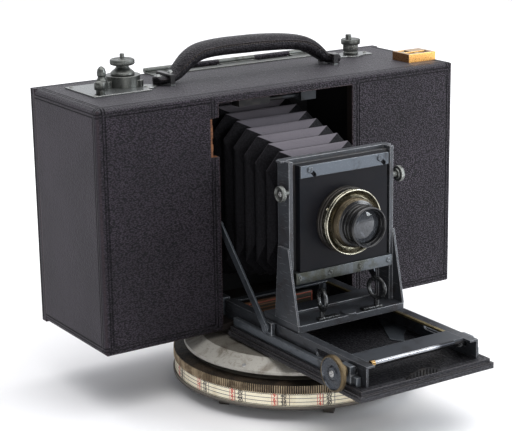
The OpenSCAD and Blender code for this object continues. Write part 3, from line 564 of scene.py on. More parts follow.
for line in (0.0, 1.0):
    middle = calc("ADD", given["Inset"], times(given["Pitch"], line))
    off = calc("ABSOLUTE", calc("SUBTRACT", inward, middle))
    groove = calc("MAXIMUM", groove, ramp(off, given["Width"], 0.0))
tree.links.new(groove, made["Groove"])


def old_leather(name, dark, light, worn, scale=480.0, stretch=(1, 1, 1), border=None, rough=(0.31, 0.58),
                relief=0.0004, wear=0.25, radius=0.0025, fitting=None, shine=0.34, calm=0.0, top_sheen_tone=None,
                grain_shade_and_glint=(0.2, 1.3)):
    """Leather with a pebbled skin, rubbed edges and, where given, a tooled border. Its grain is
    painted with light: the first of its two grain numbers is how dark the hollows are painted as
    shade, the second how light the crowns are painted as glints; calm is the share of relief lost on
    the ends; the top tone is a lighter colour painted on its upper faces as sheen from the light
    above; a fitting is the depth behind which the solid is a nickelled leaf."""
    made, tree, shader = finish_of(name, Specular_IOR_Level=shine, Specular_Tint=(0.93, 0.91, 1.0, 1))
    skin = put(tree, "Group", {"Scale": scale, "Stretch": stretch}, node_tree=pebbled_skin).outputs
    edge = edges_of(tree, radius, wear, 90.0)
    colour = mix(ramp(skin["Shade"], 0.3, 0.7), dark, light)
    toward = parts_of(normal_of(tree))
    smooth = calc("MAXIMUM", calc("ABSOLUTE", toward[0]), times(toward[2], 0.55))
    keep = calc("SUBTRACT", 1.0, times(smooth, calm))
    # Painted light in the grain: the hollows are darkened as painted shade and the crowns lightened as
    # painted glints.
    painted_grain_light = ramp(skin["Crown"], 0.05, 0.8, *grain_shade_and_glint)
    colour = mix(1.0, colour, ramp(keep, 0.0, 1.0, sum(grain_shade_and_glint) / 2, painted_grain_light), "MULTIPLY")
    colour = mix(edge["Mask"], colour, worn)
    # Painted sheen: upper faces are lightened in patches, as lit from above.
    if top_sheen_tone:
        thick = ramp(skin["Shade"], 0.2, 0.6, 0.75, 1.0)
        painted_top_sheen = times(ramp(toward[2], 0.36, 0.64), thick)
        colour = mix(painted_top_sheen, colour, top_sheen_tone)
    height = times(skin["Height"], keep)
    gloss = ramp(times(skin["Crown"], keep), 0.1, 0.9, rough[1], rough[0])
    if border:
        tooled = put(tree, "Group", border, node_tree=tooled_border).outputs["Groove"]
        height = calc("SUBTRACT", height, times(tooled, 2.8))
        colour = mix(times(tooled, 0.75), colour, [c * 0.3 for c in dark])
        gloss = calc("ADD", gloss, times(tooled, 0.25))
    if fitting:
        leaf = calc("GREATER_THAN", parts_of(place_of(tree))[1], fitting)
        nickel = mix(aged(tree, 60.0)["Mask"], (0.22, 0.22, 0.2), (0.08, 0.08, 0.07))
        colour = mix(leaf, colour, nickel)
        height = times(height, calc("SUBTRACT", 1.0, leaf))
        gloss = calc("ADD", gloss, times(leaf, -0.05))
        wire(shader, Metallic=times(leaf, 0.9))
    wire(shader, Base_Color=colour, Roughness=gloss,
         Normal=bumped(height, relief, 1.0, edge["Normal"]))
    return made


def blocks(name, spans, ease, finish, body):
    """A piece made of blocks; each span is a low and a high corner, and ease is how far the
    edges are rounded."""
    bm = bmesh.new()
    for low, high in spans:
        grown = bmesh.ops.create_cube(bm, size=1.0)["verts"]
        low, high = Vector(low), Vector(high)
        for v in grown:
            v.co = [low[i] + (v.co[i] + 0.5) * (high[i] - low[i]) for i in range(3)]
        if ease:
            edges = {e for v in grown for e in v.link_edges}
            bmesh.ops.bevel(bm, geom=list(edges), offset=ease, segments=2, affect="EDGES", profile=0.6)
    return keep_piece(name, bm, [finish], body, 40 if ease else None)


case_low, case_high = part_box("leather_cover")
case_top = case_high.z
door_low, door_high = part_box("back_door")
door_leaf_y = 0.14668
# The case leather: painted shade in the hollows and painted glints on the crowns of its grain, and painted
# sheen on its upper faces.
case_skin = {"dark": (0.009, 0.0072, 0.01), "light": (0.0148, 0.0116, 0.016),
             "worn": (0.05, 0.03, 0.031), "top_sheen_tone": (0.036, 0.034, 0.039), "scale": 760.0,
             "stretch": (0.6, 0.6, 1.15), "wear": 0.4, "relief": 0.0014, "grain_shade_and_glint": (0.05, 3.0),
             "calm": 0.84, "shine": 0.27}
case_border = {"Low": case_low, "High": (case_high.x, door_high.y, case_top), "Opening": 0.0763}
dress(old_leather("pebbled_black_leather", border=case_border, **case_skin), "leather_cover")
door_border = {"Low": door_low, "High": door_high, "Opening": -1.0}
dress(old_leather("pebbled_door_leather", border=door_border, fitting=door_leaf_y, **case_skin),
      "back_door")
notch_low, notch_high, chips = Vector((-0.0855, 0.0128, 0.229)), Vector((-0.0828, 0.02, 0.265)), 6
chip_h = (notch_high.z - notch_low.z) / chips
blocks("notch_edge", [
    ((notch_low.x, notch_low.y, notch_low.z + k * chip_h),
     (notch_high.x + 0.0005 * math.sin(k * 2.3), notch_high.y, notch_low.z + (k + 1) * chip_h))
    for k in range(chips)], 0, black_stain, "camera")

# Film chamber: walls, slit board and rear frame of thin wood, painted matt black so that
# no stray light reaches the film.
dead_black = mottled(
    "dead_black_paint", (0.004, 0.004, 0.005), (0.01, 0.01, 0.011), 60.0, 4.0, Roughness=0.85,
    Specular_IOR_Level=0.15)
dress(dead_black, "chamber_walls", "slit_board", "bellows_frame")

# Film drive and spring motor: shaft, drum and brass wheels that draw the film as the case
# turns, hidden in the right end of the case. The spools are turned from wood.
brass = old_metal(
    "aged_brass", (0.46, 0.31, 0.12), (0.2, 0.12, 0.05), (0.85, 0.66, 0.34), metallic=1.0,
    rough=(0.25, 0.42), blotch=70)
dress(brass, "motor_plate", "drive_pinion", "drum_wheel", "spring_barrel")
dress(steel, "drive_shaft", "governor")
dress(dead_black, "film_drum")
spool_wood, tree, shader = finish_of("spool_wood", Roughness=0.5)
rings = ramp(wood_rings(tree, (260.0, 260.0, 18.0)), 0.3, 0.7)
wire(shader, Base_Color=mix(rings, (0.06, 0.028, 0.014), (0.2, 0.1, 0.05)))
dress(spool_wood, "take_up_spool", "supply_spool")

# Bed: the drop board that carries the track, wood covered with tooled leather, on a long
# hinge under the opening. Its rails are blued steel and a ribbed striker stands at its front.
bed_low, bed_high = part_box("bed_board")
bed_border = {"Low": bed_low, "High": bed_high, "Opening": -1.0, "Inset": 0.0042, "Pitch": 0.0026,
              "Width": 0.001}
bed_leather = old_leather(
    "tooled_bed_leather", (0.008, 0.008, 0.0095), (0.014, 0.014, 0.016), (0.085, 0.078, 0.078),
    scale=620.0, stretch=(0.8, 0.8, 1.2), rough=(0.28, 0.46), relief=0.0003, radius=0.0014, wear=0.3,
    border=bed_border)
dress(bed_leather, "bed_board")
black_enamel = old_metal(
    "black_enamel", (0.012, 0.0125, 0.0145), (0.024, 0.019, 0.018), (0.17, 0.175, 0.18), metallic=0.1,
    rough=(0.32, 0.5), radius=0.0006, wear=0.12, blotch=50, scratch=0.15)
dress(black_enamel, "bed_hinge")
grey_steel = old_metal(
    "worn_grey_steel", (0.082, 0.094, 0.11), (0.036, 0.038, 0.042), (0.34, 0.36, 0.38), metallic=0.75,
    rough=(0.28, 0.45), radius=0.0006, wear=0.25)
rail_steel = old_metal(
    "blued_rail_steel", (0.085, 0.097, 0.112), (0.03, 0.031, 0.034), (0.34, 0.35, 0.36), metallic=0.6,
    rough=(0.3, 0.48), radius=0.0022, wear=0.0)
dress(rail_steel, "guide_rails")
catch_iron, tree, shader = finish_of("catch_iron", Metallic=0.4, Specular_IOR_Level=0.2)
spot = parts_of(place_of(tree))
age = aged(tree, 110.0, 0.6)
# The catch block at the top right is a lighter grey; the left block is painted dark as shade, and the
# striker takes the same dark tone.
right_block = calc("GREATER_THAN", spot[0], 0.0)
right_block = times(calc("GREATER_THAN", spot[2], 0.15), right_block)
dark_iron = mix(age["Mask"], (0.008, 0.0078, 0.0085), (0.022, 0.02, 0.019))
grey_iron = mix(age["Mask"], (0.018, 0.02, 0.023), (0.01, 0.0105, 0.0115))
wire(shader, Base_Color=mix(right_block, dark_iron, grey_iron),
     Roughness=ramp(age["Fine"], 0.3, 0.7, 0.34, 0.55))
dress(catch_iron, "bed_catch")
dress(grey_steel, "bed_struts")
striker_y, striker_z = bed_low.y + 0.003, bed_high.z
ribs, rib_pitch, rib_half = [], 0.0036, 0.0009
for k in range(-4, 5):
    x = -0.003 + k * rib_pitch
    crest = 0.0057 - 14.5 * (k * rib_pitch) ** 2
    ribs.append(((x - rib_half, striker_y - 0.0007, striker_z + 0.0003),
                 (x + rib_half, striker_y + 0.0002, striker_z + crest)))
blocks("striker_ribs", ribs, 0.0003, catch_iron, "camera")
floor_line = [(0.058, -0.053), (0.059, -0.098), (0.047, -0.108), (0.036, -0.124), (0.028, -0.112)]
bm = bmesh.new()
join_rings(bm, [[(x, y, bed_high.z + h) for x, y in floor_line] for h in (0.0, 0.0012)])
keep_piece("bed_floor_plate", bm, [grey_steel], "camera")

# Sill: a strip of varnished wood across the floor behind the bed hinge, lined with red, that
# the track runs over. It shows through the open foot of the standard.
sill_wood, tree, shader = finish_of("striped_sill", Roughness=0.4)
spot = parts_of(place_of(tree))
stripe_pitch = 0.0034
wave = calc("SINE", times(spot[2], 2 * math.pi / stripe_pitch))
stripe = times(ramp(wave, 0.1, 0.6), ramp(spot[0], 0.004, -0.002))
figure = wood_rings(tree, (25.0, 300.0, 420.0), 4.0, 0.0)
ground = mix(figure, (0.01, 0.009, 0.006), (0.03, 0.024, 0.014))
wire(shader, Base_Color=mix(stripe, ground, (0.125, 0.058, 0.027)))
red_line = mottled("red_lining", (0.17, 0.034, 0.024), (0.32, 0.08, 0.048), 400.0, 3.0, Roughness=0.45)
blocks("sill_board", [((-0.048, 0.0135, 0.0641), (0.0285, 0.0185, 0.0788))], 0.0004, sill_wood,
       "camera")
blocks("sill_lining", [((left, 0.0131, low), (right, 0.0137, high)) for left, low, right, high in (
    (-0.047, 0.0773, 0.028, 0.0784), (-0.047, 0.0646, 0.028, 0.0657),
    (0.027, 0.0657, 0.028, 0.0773), (0.004, 0.0724, 0.0262, 0.073))],
    0.0001, red_line, "camera")

# Track: the frame that the focus pinions drive along the bed, with racks under its rails, a
# brass slip along its right rail and a bright cross rod with a brass end at its front.
dark_metal = old_metal(
    "dark_oxidised_steel", (0.034, 0.037, 0.043), (0.014, 0.013, 0.014), (0.32, 0.33, 0.35),
    metallic=0.45, rough=(0.3, 0.5), radius=0.0008, wear=0.22)
dress(dark_metal, "track_rails")
track_low, track_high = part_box("track_rails")
bars, tree, shader = finish_of("track_bars_and_rod")
spot = parts_of(place_of(tree))
on_rod = calc("LESS_THAN", spot[1], track_low.y + 0.0099)
on_cap = times(on_rod, calc("LESS_THAN", spot[0], -0.0475))
on_wall = calc("LESS_THAN", spot[2], track_high.z - 0.002)
age, edge = aged(tree, 45.0), edges_of(tree, 0.0007, 0.2)
bar_tone = mix(age["Mask"], (0.03, 0.034, 0.041), (0.015, 0.016, 0.019))
bar_tone = mix(on_wall, bar_tone, (0.007, 0.006, 0.007))
bar_edge = times(edge["Mask"], calc("SUBTRACT", 1.0, on_wall))
bar_tone = mix(bar_edge, bar_tone, (0.24, 0.26, 0.28))
rod_tone = mix(age["Mask"], (0.31, 0.32, 0.34), (0.21, 0.212, 0.216))
# Painted shade: the rod is darkened from just right of the middle to its right end.
rod_tone = mix(ramp(spot[0], 0.012, 0.026), rod_tone, (0.02, 0.021, 0.024))
cap_tone = mix(age["Mask"], (0.27, 0.172, 0.072), (0.13, 0.08, 0.034))
wire(shader, Base_Color=mix(on_cap, mix(on_rod, bar_tone, rod_tone), cap_tone),
     Metallic=calc("MAXIMUM", on_rod, 0.35),
     Roughness=calc("SUBTRACT", 0.46, times(on_rod, 0.26)),
     Normal=bumped(age["Fine"], 0.00006, 0.5, edge["Normal"]))
dress(bars, "track_bars")
olive_brass = old_metal(
    "olive_brass", (0.19, 0.155, 0.075), (0.07, 0.055, 0.03), (0.52, 0.44, 0.26), metallic=0.9,
    rough=(0.3, 0.5), wear=0.4)
dress(brass, "track_racks")
dress(black_enamel, "focus_shaft")
blocks("rail_slip", [((0.05, track_low.y + 0.0345, track_high.z - 0.0024),
                      (0.0529, 0.0215, track_high.z - 0.0001))], 0.0003, olive_brass, "track")

# Focus knob: a turned brass disc with a milled rim on the end of the pinion shaft. Its face is
# dished and blackened, with a screw in the middle.


def middle_of(name):
    """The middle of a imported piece's box."""
    low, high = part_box(name)
    return (low + high) / 2


def turned(name, profile, start, axis, finishes, body, around=72, milled=None, smooth=32):
    """A lathe-turned piece. Its profile is in millimetres: the way along the axis, the radius and,
    where it changes, the number of the finish. Milled is the start and the end of a ribbed
    stretch, the number of its ribs, their depth and the radius that they stand outside of."""
    start, n = Vector(start), Vector(axis).normalized()
    u = n.orthogonal().normalized()
    v = n.cross(u)
    begin, end, ribs, depth, inside = milled or (0, 0, 0, 0, math.inf)
    bm = bmesh.new()
    rings = []
    for way, radius, *_ in profile:
        ribbed = depth if begin <= way <= end and radius > inside else 0
        ring = []
        for i in range(around if radius else 1):
            a = 2 * math.pi * i / around
            r = radius - ribbed * (0.5 - 0.5 * math.cos(ribs * a))
            off = n * way + (u * math.cos(a) + v * math.sin(a)) * r
            ring.append(bm.verts.new(start + off * 0.001))
        rings.append(ring if radius else ring * around)
    number = 0
    for lower, upper, (_, _, *change) in zip(rings, rings[1:], profile[1:]):
        number = change[0] if change else number
        for i in range(around):
            j = (i + 1) % around
            corners = list(dict.fromkeys((lower[i], lower[j], upper[j], upper[i])))
            if len(corners) > 2:
                bm.faces.new(corners).material_index = number
    return keep_piece(name, bm, finishes, body, smooth)


hub = middle_of("focus_knob")
rim_brass = old_metal(
    "rubbed_rim_brass", (0.092, 0.068, 0.038), (0.04, 0.03, 0.02), (0.3, 0.235, 0.14), metallic=0.9,
    rough=(0.32, 0.5), blotch=90, wear=0.25)
blackened = old_metal(
    "blackened_dish", (0.042, 0.047, 0.056), (0.022, 0.023, 0.027), (0.3, 0.3, 0.31), metallic=0.7,
    rough=(0.2, 0.36), wear=0.2)
knob = turned("focus_knob_turned", [
    (-6, 0), (-6, 5.6), (-5.4, 6), (2.6, 6), (2.8, 13.5), (3.1, 15.5), (3.5, 16.2), (4, 16.4),
    (5.4, 16.4), (6.8, 16.4), (7.5, 16.1), (8, 15.5), (8.2, 14.9), (8, 14.4), (6.6, 13.8, 1),
    (5.8, 12.4), (5.6, 10), (5.5, 7.2), (5.9, 6.5), (6.8, 6), (7.2, 5.3), (7.2, 0)],
    (-0.076, hub.y, hub.z), (-1, 0, 0), [rim_brass, blackened], "focus", around=288,
    milled=(3.8, 7.0, 72, 0.3, 15.6))
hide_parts("focus_knob")
screw_heads("focus_knob_screw", [((-0.0832, hub.y, hub.z), (-1, 0, 0), 0.003, 65)], steel, "focus")

# Standard: the carriage with its uprights and side gussets in black-finished steel, worn to
# bare metal on the edges, with finger rings that free it from the track.
worn_black = {"colour": (0.044, 0.048, 0.055), "stain": (0.026, 0.023, 0.025),
              "bright": (0.4, 0.41, 0.43), "metallic": 0.35, "rough": (0.32, 0.5), "radius": 0.001,
              "wear": 0.34, "blotch": 45, "scratch": 0.35}
dress(old_metal("worn_black_steel", **worn_black), "standard_frame")
foot_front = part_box("standard_base")[0].y
dress(old_metal("worn_black_foot", rubbed_to=foot_front + 0.0015, **worn_black), "standard_base")
dress(black_enamel, "lens_carrier")
ring_steel = old_metal(
    "rubbed_ring_steel", (0.075, 0.078, 0.08), (0.022, 0.022, 0.022), (0.16, 0.16, 0.158),
    metallic=0.85, rough=(0.2, 0.36), wear=0.1)
dress(ring_steel, "clamp_ring_left", "clamp_ring_right")
worn_nickel = old_metal(
    "grey_nickel", (0.105, 0.11, 0.104), (0.04, 0.041, 0.036), (0.42, 0.42, 0.4), metallic=0.9,
    rough=(0.3, 0.46), radius=0.0007, wear=0.35, blotch=70)
for name, side in (("left", -1), ("right", 1)):
    hub = middle_of("rise_knob_" + name)
    knob = turned("rise_knob_" + name + "_turned", [
        (0, 0), (0, 2.5), (4, 2.5), (4.3, 4.6), (5.4, 5), (5.7, 6.8), (6.2, 7.5), (7.8, 7.5), (9.3, 7.5),
        (10, 7), (10, 6.3), (9.2, 5.8), (8.5, 5), (8.3, 3.4), (8.5, 2.8), (8.5, 0)],
        (side * 0.0585, hub.y, hub.z), (side, 0, 0), [worn_nickel], "rise_" + name,
        around=176, milled=(6.0, 9.5, 44, 0.3, 7.0))
    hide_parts("rise_knob_" + name)
    screw_heads("rise_screw_" + name, [((side * 0.067, hub.y, hub.z), (side, 0, 0), 0.0024, 30)], steel,
                "rise_" + name)

# Bellows: folded black leather over card, glued to the rear frame and to the back of the
# standard. Each fold is a piece of its own.
# The tops of the folds are lightened as painted sheen from the light above.
bellows_leather = old_leather(
    "matt_bellows_leather", (0.0018, 0.0018, 0.0023), (0.0036, 0.0034, 0.0042), (0.02, 0.018, 0.02),
    scale=700.0, rough=(0.5, 0.66), relief=0.00016, wear=0.2, radius=0.001, shine=0.12,
    top_sheen_tone=(0.1, 0.092, 0.105))
bellows_rear, bellows_front, folds, lens_axis_z = 0.101, -0.058, 9, 0.177
bellows_l = bellows_rear - bellows_front
rear_w, rear_h, narrowing, lowering = 0.057, 0.091, 0.004, 0.038
# Along one fold: way, depth and how far its corners are cut off, up to its ridge and down again.
to_ridge = [(0.0, 0.0085, 0.027), (0.2, 0.0052, 0.0222), (0.4, 0.0013, 0.0168),
            (0.47, 0.0002, 0.015), (0.5, 0.0, 0.0147)]
steps = to_ridge + [(1 - part, depth, cut) for part, depth, cut in to_ridge[-2::-1]]


def fold_loop(share, depth, cut):
    """Eight corners of the bellows at a share of its length, drawn in by a fold depth; each of its
    four edges is cut off by a flat."""
    w = rear_w - narrowing * share - depth
    h = rear_h - lowering * share - depth
    y = bellows_rear - bellows_l * share
    low, side = h - cut * 1.1, w - cut
    return [(x, y, lens_axis_z + z) for x, z in (
        (-w, low), (-w, -low), (-side, -h), (side, -h), (w, -low), (w, low), (side, h), (-side, h))]


for k in range(folds):
    bm = bmesh.new()
    join_rings(bm, [fold_loop((k + part) / folds, depth, cut) for part, depth, cut in steps], ends=[])
    fold = keep_piece(f"bellows_fold_{k + 1:02d}", bm, [bellows_leather], None, 25)
    fold.modifiers.new("thickness", "SOLIDIFY").thickness = 0.0006
    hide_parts("bellows")
    if k == 0:
        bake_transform(fold)
    else:
        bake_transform(fold)

# Lens board: a varnished black board held between a fixed strip with four screws and a top
# strip that slides aside on two shoulder screws.
varnish, tree, shader = finish_of("black_varnished_board", Specular_IOR_Level=0.09)
age = aged(tree, 18.0, 0.9)
wire(shader, Base_Color=mix(age["Mask"], (0.0034, 0.0046, 0.007), (0.007, 0.007, 0.009)),
     Roughness=ramp(age["Fine"], 0.3, 0.7, 0.3, 0.44))
dress(varnish, "lens_board")
dress(grey_steel, "board_latch")
strip_steel = old_metal(
    "stained_strip_steel", (0.08, 0.09, 0.1), (0.04, 0.042, 0.032), (0.34, 0.35, 0.34), metallic=0.7,
    rough=(0.28, 0.45), radius=0.0006, wear=0.3, spread=0.7)
board_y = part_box("lens_board")[0].y
lower_strip = blocks("lower_board_strip", [((-0.0542, board_y - 0.0016, 0.1235),
                                            (0.0542, board_y + 0.007, 0.134))],
                     0.0004, strip_steel, "carrier")
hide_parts("board_strip")
screw_heads("lower_strip_screws", [((x, board_y - 0.0016, 0.129), (0, -1, 0), 0.0025, t)
                                   for x, t in ((-0.05, 20), (-0.017, 75), (0.017, 40), (0.05, 110))],
            strip_steel, "carrier")
screw_heads("shoulder_screws", [((x, board_y - 0.0022, 0.2285), (0, -1, 0), 0.0029, t)
                                for x, t in ((-0.039, 15), (0.039, 60))], grey_steel, "carrier")

# Lens: the barrel on its bronzed flange, with a brass thread behind a black front cell, and
# the iris collar, a dished nickelled ring with a bright rim, a pin and a set screw.
black_lacquer = old_metal(
    "black_lacquer", (0.008, 0.008, 0.009), (0.014, 0.013, 0.012), (0.13, 0.125, 0.11), metallic=0.1,
    rough=(0.12, 0.26), radius=0.0005, wear=0.1, scratch=0.1)
flange_bronze = old_metal(
    "bronzed_flange", (0.036, 0.032, 0.03), (0.016, 0.015, 0.014), (0.24, 0.22, 0.18), metallic=0.7,
    rough=(0.3, 0.48), wear=0.25)
thread_brass = old_metal(
    "browned_thread_brass", (0.05, 0.04, 0.026), (0.022, 0.018, 0.012), (0.3, 0.26, 0.19),
    metallic=0.95, rough=(0.26, 0.42), radius=0.0003, wear=0.2, blotch=120)
nickel_brass = old_metal(
    "nickelled_brass", (0.38, 0.36, 0.275), (0.1, 0.09, 0.06), (0.95, 0.92, 0.8), metallic=1.0,
    rough=(0.2, 0.36), radius=0.0009, wear=0.7, blotch=110)
lens_at, forward = Vector((0, board_y, lens_axis_z)), (0, -1, 0)
profile = [
    (-26, 13.6), (-26, 19.6, 1), (-25.6, 20), (0, 20), (0, 31, 0), (2.6, 31), (3, 30.5),
    (3.4, 30.5), (3.8, 30.9), (6, 30.8), (6.5, 30.2), (6.8, 24), (7.1, 23.5, 2), (15.9, 23.5),
    (16.4, 23)]
for k in range(4):
    profile += [(16.8 + k, 22.7), (17.3 + k, 21.8)]
profile += [
    (20.7, 22), (21.1, 21.4), (21.3, 19.6, 1), (21.8, 18.4), (24.6, 18.4), (25, 18.8), (26, 18.8),
    (26.4, 18.3), (29.2, 18.3), (29.6, 18.7), (30.6, 18.7), (31, 18.3), (33.6, 18.4), (34.3, 18.8),
    (35, 19), (37.8, 19), (38.6, 18.7), (39, 18.3), (39, 17.7), (38.7, 17.3), (37.4, 16.7),
    (35.8, 16.2), (35.2, 16.1), (34.8, 15.7), (27, 15.6), (26.6, 14), (26, 13.7), (-26, 13.6)]
tube = turned("lens_tube", profile, lens_at, forward, [flange_bronze, black_lacquer, thread_brass],
              "carrier", around=96)
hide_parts("lens_barrel")
collar = turned("iris_collar", [
    (7.5, 23.6), (7.5, 29.7), (7.9, 30.2), (11.9, 30.2), (12.3, 29.8), (12.7, 29.8), (13.1, 30.5),
    (15.4, 30.5), (15.9, 30.2), (15.9, 29.6), (15.5, 29.1), (14.1, 28.1), (12.7, 26.8), (11.5, 25.2),
    (11.3, 24.2), (11.3, 23.6), (7.5, 23.6)],
    lens_at, forward, [nickel_brass], "iris", around=96)
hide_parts("iris_ring")
collar_at = lens_at + Vector((0, -0.01, 0))
pin_out, set_out = Vector((-0.866, 0, 0.5)), Vector((-0.31, 0, 0.951))
turned("iris_pin", [(-0.8, 1.3), (1.2, 1.3), (1.5, 0.9), (1.5, 0)], collar_at + pin_out * 0.03, pin_out,
       [nickel_brass], "iris", around=20)
screw_heads("iris_set_screw", [(collar_at + set_out * 0.0301, set_out, 0.0018, 20)], black_lacquer, "iris")
mark_r, mark_half = 0.03053, 0.00018
bm = bmesh.new()
for k in range(9):
    a = math.radians(98 + 11 * k)
    out, round_it = Vector((math.cos(a), 0, math.sin(a))), Vector((-math.sin(a), 0, math.cos(a)))
    bm.faces.new([bm.verts.new(lens_at + out * mark_r + round_it * s + Vector((0, -d, 0))) for s, d in (
        (-mark_half, 0.0135), (mark_half, 0.0135), (mark_half, 0.0149), (-mark_half, 0.0149))])
keep_piece("iris_marks", bm, [black_ink], "iris", closed=False)
clear_glass = mottled(
    "lens_glass", (0.11, 0.12, 0.14), (0.17, 0.185, 0.21), 120.0, 3.0, Roughness=0.02, IOR=1.52,
    Transmission_Weight=0.8)
dome = [
    (26.8, 0), (27.2, 5), (28, 9), (29.4, 13.4), (30, 13.4), (30.8, 11.8), (31.8, 9.2), (32.5, 6.2),
    (32.9, 3.2), (33, 0)]
for name, shift, wider in (("front_glass", 1.4, 1.15), ("rear_glass", -49.2, 1.0)):
    glass = turned(name, [(way + shift, radius * wider) for way, radius in dome], lens_at, forward,
                   [clear_glass], "carrier", around=64, smooth=50)
    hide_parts("lens_glass")

# Top fittings: nickelled plates screwed to the top of the case, with the supply collar and its
# knob, the punch post, the brake screw and the winding key. All have gone grey-green.
dress(worn_nickel, "supply_collar", "brake_screw", "side_button")
plate_nickel = old_metal(
    "flat_plate_nickel", (0.165, 0.173, 0.173), (0.07, 0.07, 0.066), (0.5, 0.5, 0.48), metallic=0.85,
    rough=(0.24, 0.42), wear=0.4, blotch=60)
dress(plate_nickel, "side_catch")
dress(worn_nickel, "door_hinge")
staple_nickel = plate_nickel.copy()
staple_nickel.name = "plate_nickel_with_black_staples"
tree, shader, bare = reopen(staple_nickel)
staple = calc("GREATER_THAN", parts_of(place_of(tree))[2], case_top + 0.0018)
wire(shader, Base_Color=mix(staple, bare, (0.014, 0.013, 0.014)),
     Metallic=ramp(staple, 0.0, 1.0, 0.85, 0.2))
dress(staple_nickel, "top_plates")
upward = (0, 0, 1)
spool = middle_of("supply_knob")
knob = turned("supply_knob_turned", [
    (258, 0), (258, 4), (300.3, 4), (300.3, 11), (300.8, 11.5), (302.2, 11.3), (303.6, 10), (305, 8.1),
    (306.4, 6.6), (308, 5.9), (309, 6.2), (309.3, 9.8), (309.8, 11), (310.6, 11.7), (312.1, 11.7),
    (313.6, 11.7), (314.4, 11.2), (314.9, 10.4), (314.6, 9.5), (313.9, 7.5), (314, 4.2), (314.6, 3.4),
    (315, 2.2), (319.5, 2.1), (319.9, 1.7), (319.9, 0)],
    (spool.x, spool.y, 0), upward, [worn_nickel], "supply", around=192,
    milled=(310.0, 314.0, 48, 0.4, 10.5))
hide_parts("supply_knob")
winder = middle_of("winding_key")
key = turned("winding_key_turned", [
    (261.2, 0), (261.2, 4), (289.8, 4), (289.8, 7.4), (290.3, 7.8), (292, 7.8), (292.4, 7.2),
    (293, 7.2), (293.4, 7.8), (296, 7.8), (299.2, 7.8), (299.8, 7.4), (300.1, 9.2), (300.6, 9.8),
    (301.2, 10), (304.6, 10), (305.2, 9.7), (305.5, 9), (305.2, 8.2), (305, 0)],
    (winder.x, winder.y, 0), upward, [worn_nickel], "winder", around=160,
    milled=(293.2, 299.6, 32, 0.6, 7.6))
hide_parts("winding_key")
turned("winding_crank_pin", [
    (304.5, 0), (304.5, 3), (310.4, 3), (310.8, 2.7), (311, 2.1), (311, 0)],
    (winder.x - 0.005, winder.y - 0.003, 0), upward, [worn_nickel], "winder", around=32)
post = middle_of("punch_button")
knob = turned("punch_post_turned", [
    (277, 0), (277, 4), (293.8, 4), (294, 5.2), (294.5, 5.5), (300.3, 5.5), (300.8, 5.3), (301, 4.8),
    (300.8, 4.2), (300.2, 3.8), (300.1, 0)],
    (post.x, post.y, 0), upward, [worn_nickel], "punch", around=48)
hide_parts("punch_button")
plate_z = case_top + 0.0014
screw_heads("plate_screws", [((x, y, plate_z), upward, 0.0019, t) for x, y, t in (
    (-0.1755, 0.0645, 15), (-0.1735, 0.1175, 70), (-0.1225, 0.1175, 40), (-0.1155, 0.077, 100),
    (winder.x - 0.018, winder.y, 25), (winder.x + 0.018, winder.y, 80))], worn_nickel, "camera")

# Level: a gilt brass block with two spirit vials let into its top, one along the case and
# one across it, each with its bubble.
gilt_brass = old_metal(
    "gilt_brass", (0.74, 0.38, 0.105), (0.52, 0.25, 0.06), (0.88, 0.63, 0.31), metallic=0.6,
    rough=(0.24, 0.38), blotch=90, spread=0.4)
tree, shader, gilt = reopen(gilt_brass)
toward = parts_of(normal_of(tree))
# Upward faces are a darker, browner gilt.
gilt_darker_on_top = mix(ramp(toward[2], 0.6, 0.9), gilt, (0.3, 0.18, 0.065))
# Faces toward the left are darker still, as painted shade.
wire(shader, Base_Color=mix(ramp(toward[0], -0.6, -0.9), gilt_darker_on_top, (0.16, 0.075, 0.028)))
dress(gilt_brass, "level_frame")
vial_glass = mottled(
    "green_vial_glass", (0.02, 0.024, 0.014), (0.045, 0.052, 0.026), 200.0, Roughness=0.05, IOR=1.5,
    Transmission_Weight=0.4)
dress(vial_glass, "level_vials")
bubble = mottled("vial_bubble", (0.3, 0.33, 0.22), (0.42, 0.45, 0.32), 500.0, Roughness=0.1)
level_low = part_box("level_frame")[0]
for name, shift, axis in (("level_bubble_long", (0.0165, 0.0085, 0.0067), (1, 0, 0)),
                          ("level_bubble_cross", (0.0085, 0.0198, 0.0067), (0, 1, 0))):
    turned(name, [(-4.2, 0), (-3.8, 0.7), (-2.4, 1.2), (0, 1.4), (2.4, 1.2), (3.8, 0.7), (4.2, 0)],
           level_low + Vector(shift), axis, [bubble], "camera", around=20, smooth=60)

# Handle: a rounded strap of dark leather over a padded core. Its top skin laps over the lower
# one and is sewn along both sides; its flat tips are riveted and held under the staples.
handle_leather = old_leather(
    "handle_leather", (0.0066, 0.0056, 0.0068), (0.013, 0.0112, 0.0128), (0.07, 0.058, 0.054),
    scale=560.0, rough=(0.36, 0.54), relief=0.0004, radius=0.0012, wear=0.35, shine=0.24)
handle_x, handle_y, handle_half = 0.004, 0.084, 0.108
lap_rise, lower_skin, squareness = 0.32, 0.925, 0.72
# Along each half of the handle, in millimetres: way from its middle, height of its middle line,
# half its thickness. Years of carrying have pulled its left shoulder steeper than its right one.
handle_left = [(0, 29.4, 8.6), (30, 29.6, 8.4), (50, 28.4, 8.0), (61, 25.8, 7.8), (70, 20.8, 7.6),
               (77, 14.8, 7.0), (83, 9.4, 6.0), (89, 6.0, 4.9), (96, 4.7, 4.3), (108, 4.4, 4.0)]
handle_right = [(0, 29.4, 8.6), (30, 28.2, 8.3), (50, 26.2, 7.8), (62, 23.6, 7.6), (72, 19.2, 7.3),
                (80, 14.0, 6.6), (86, 9.4, 5.7), (92, 6.0, 4.8), (98, 4.6, 4.3), (108, 4.4, 4.0)]


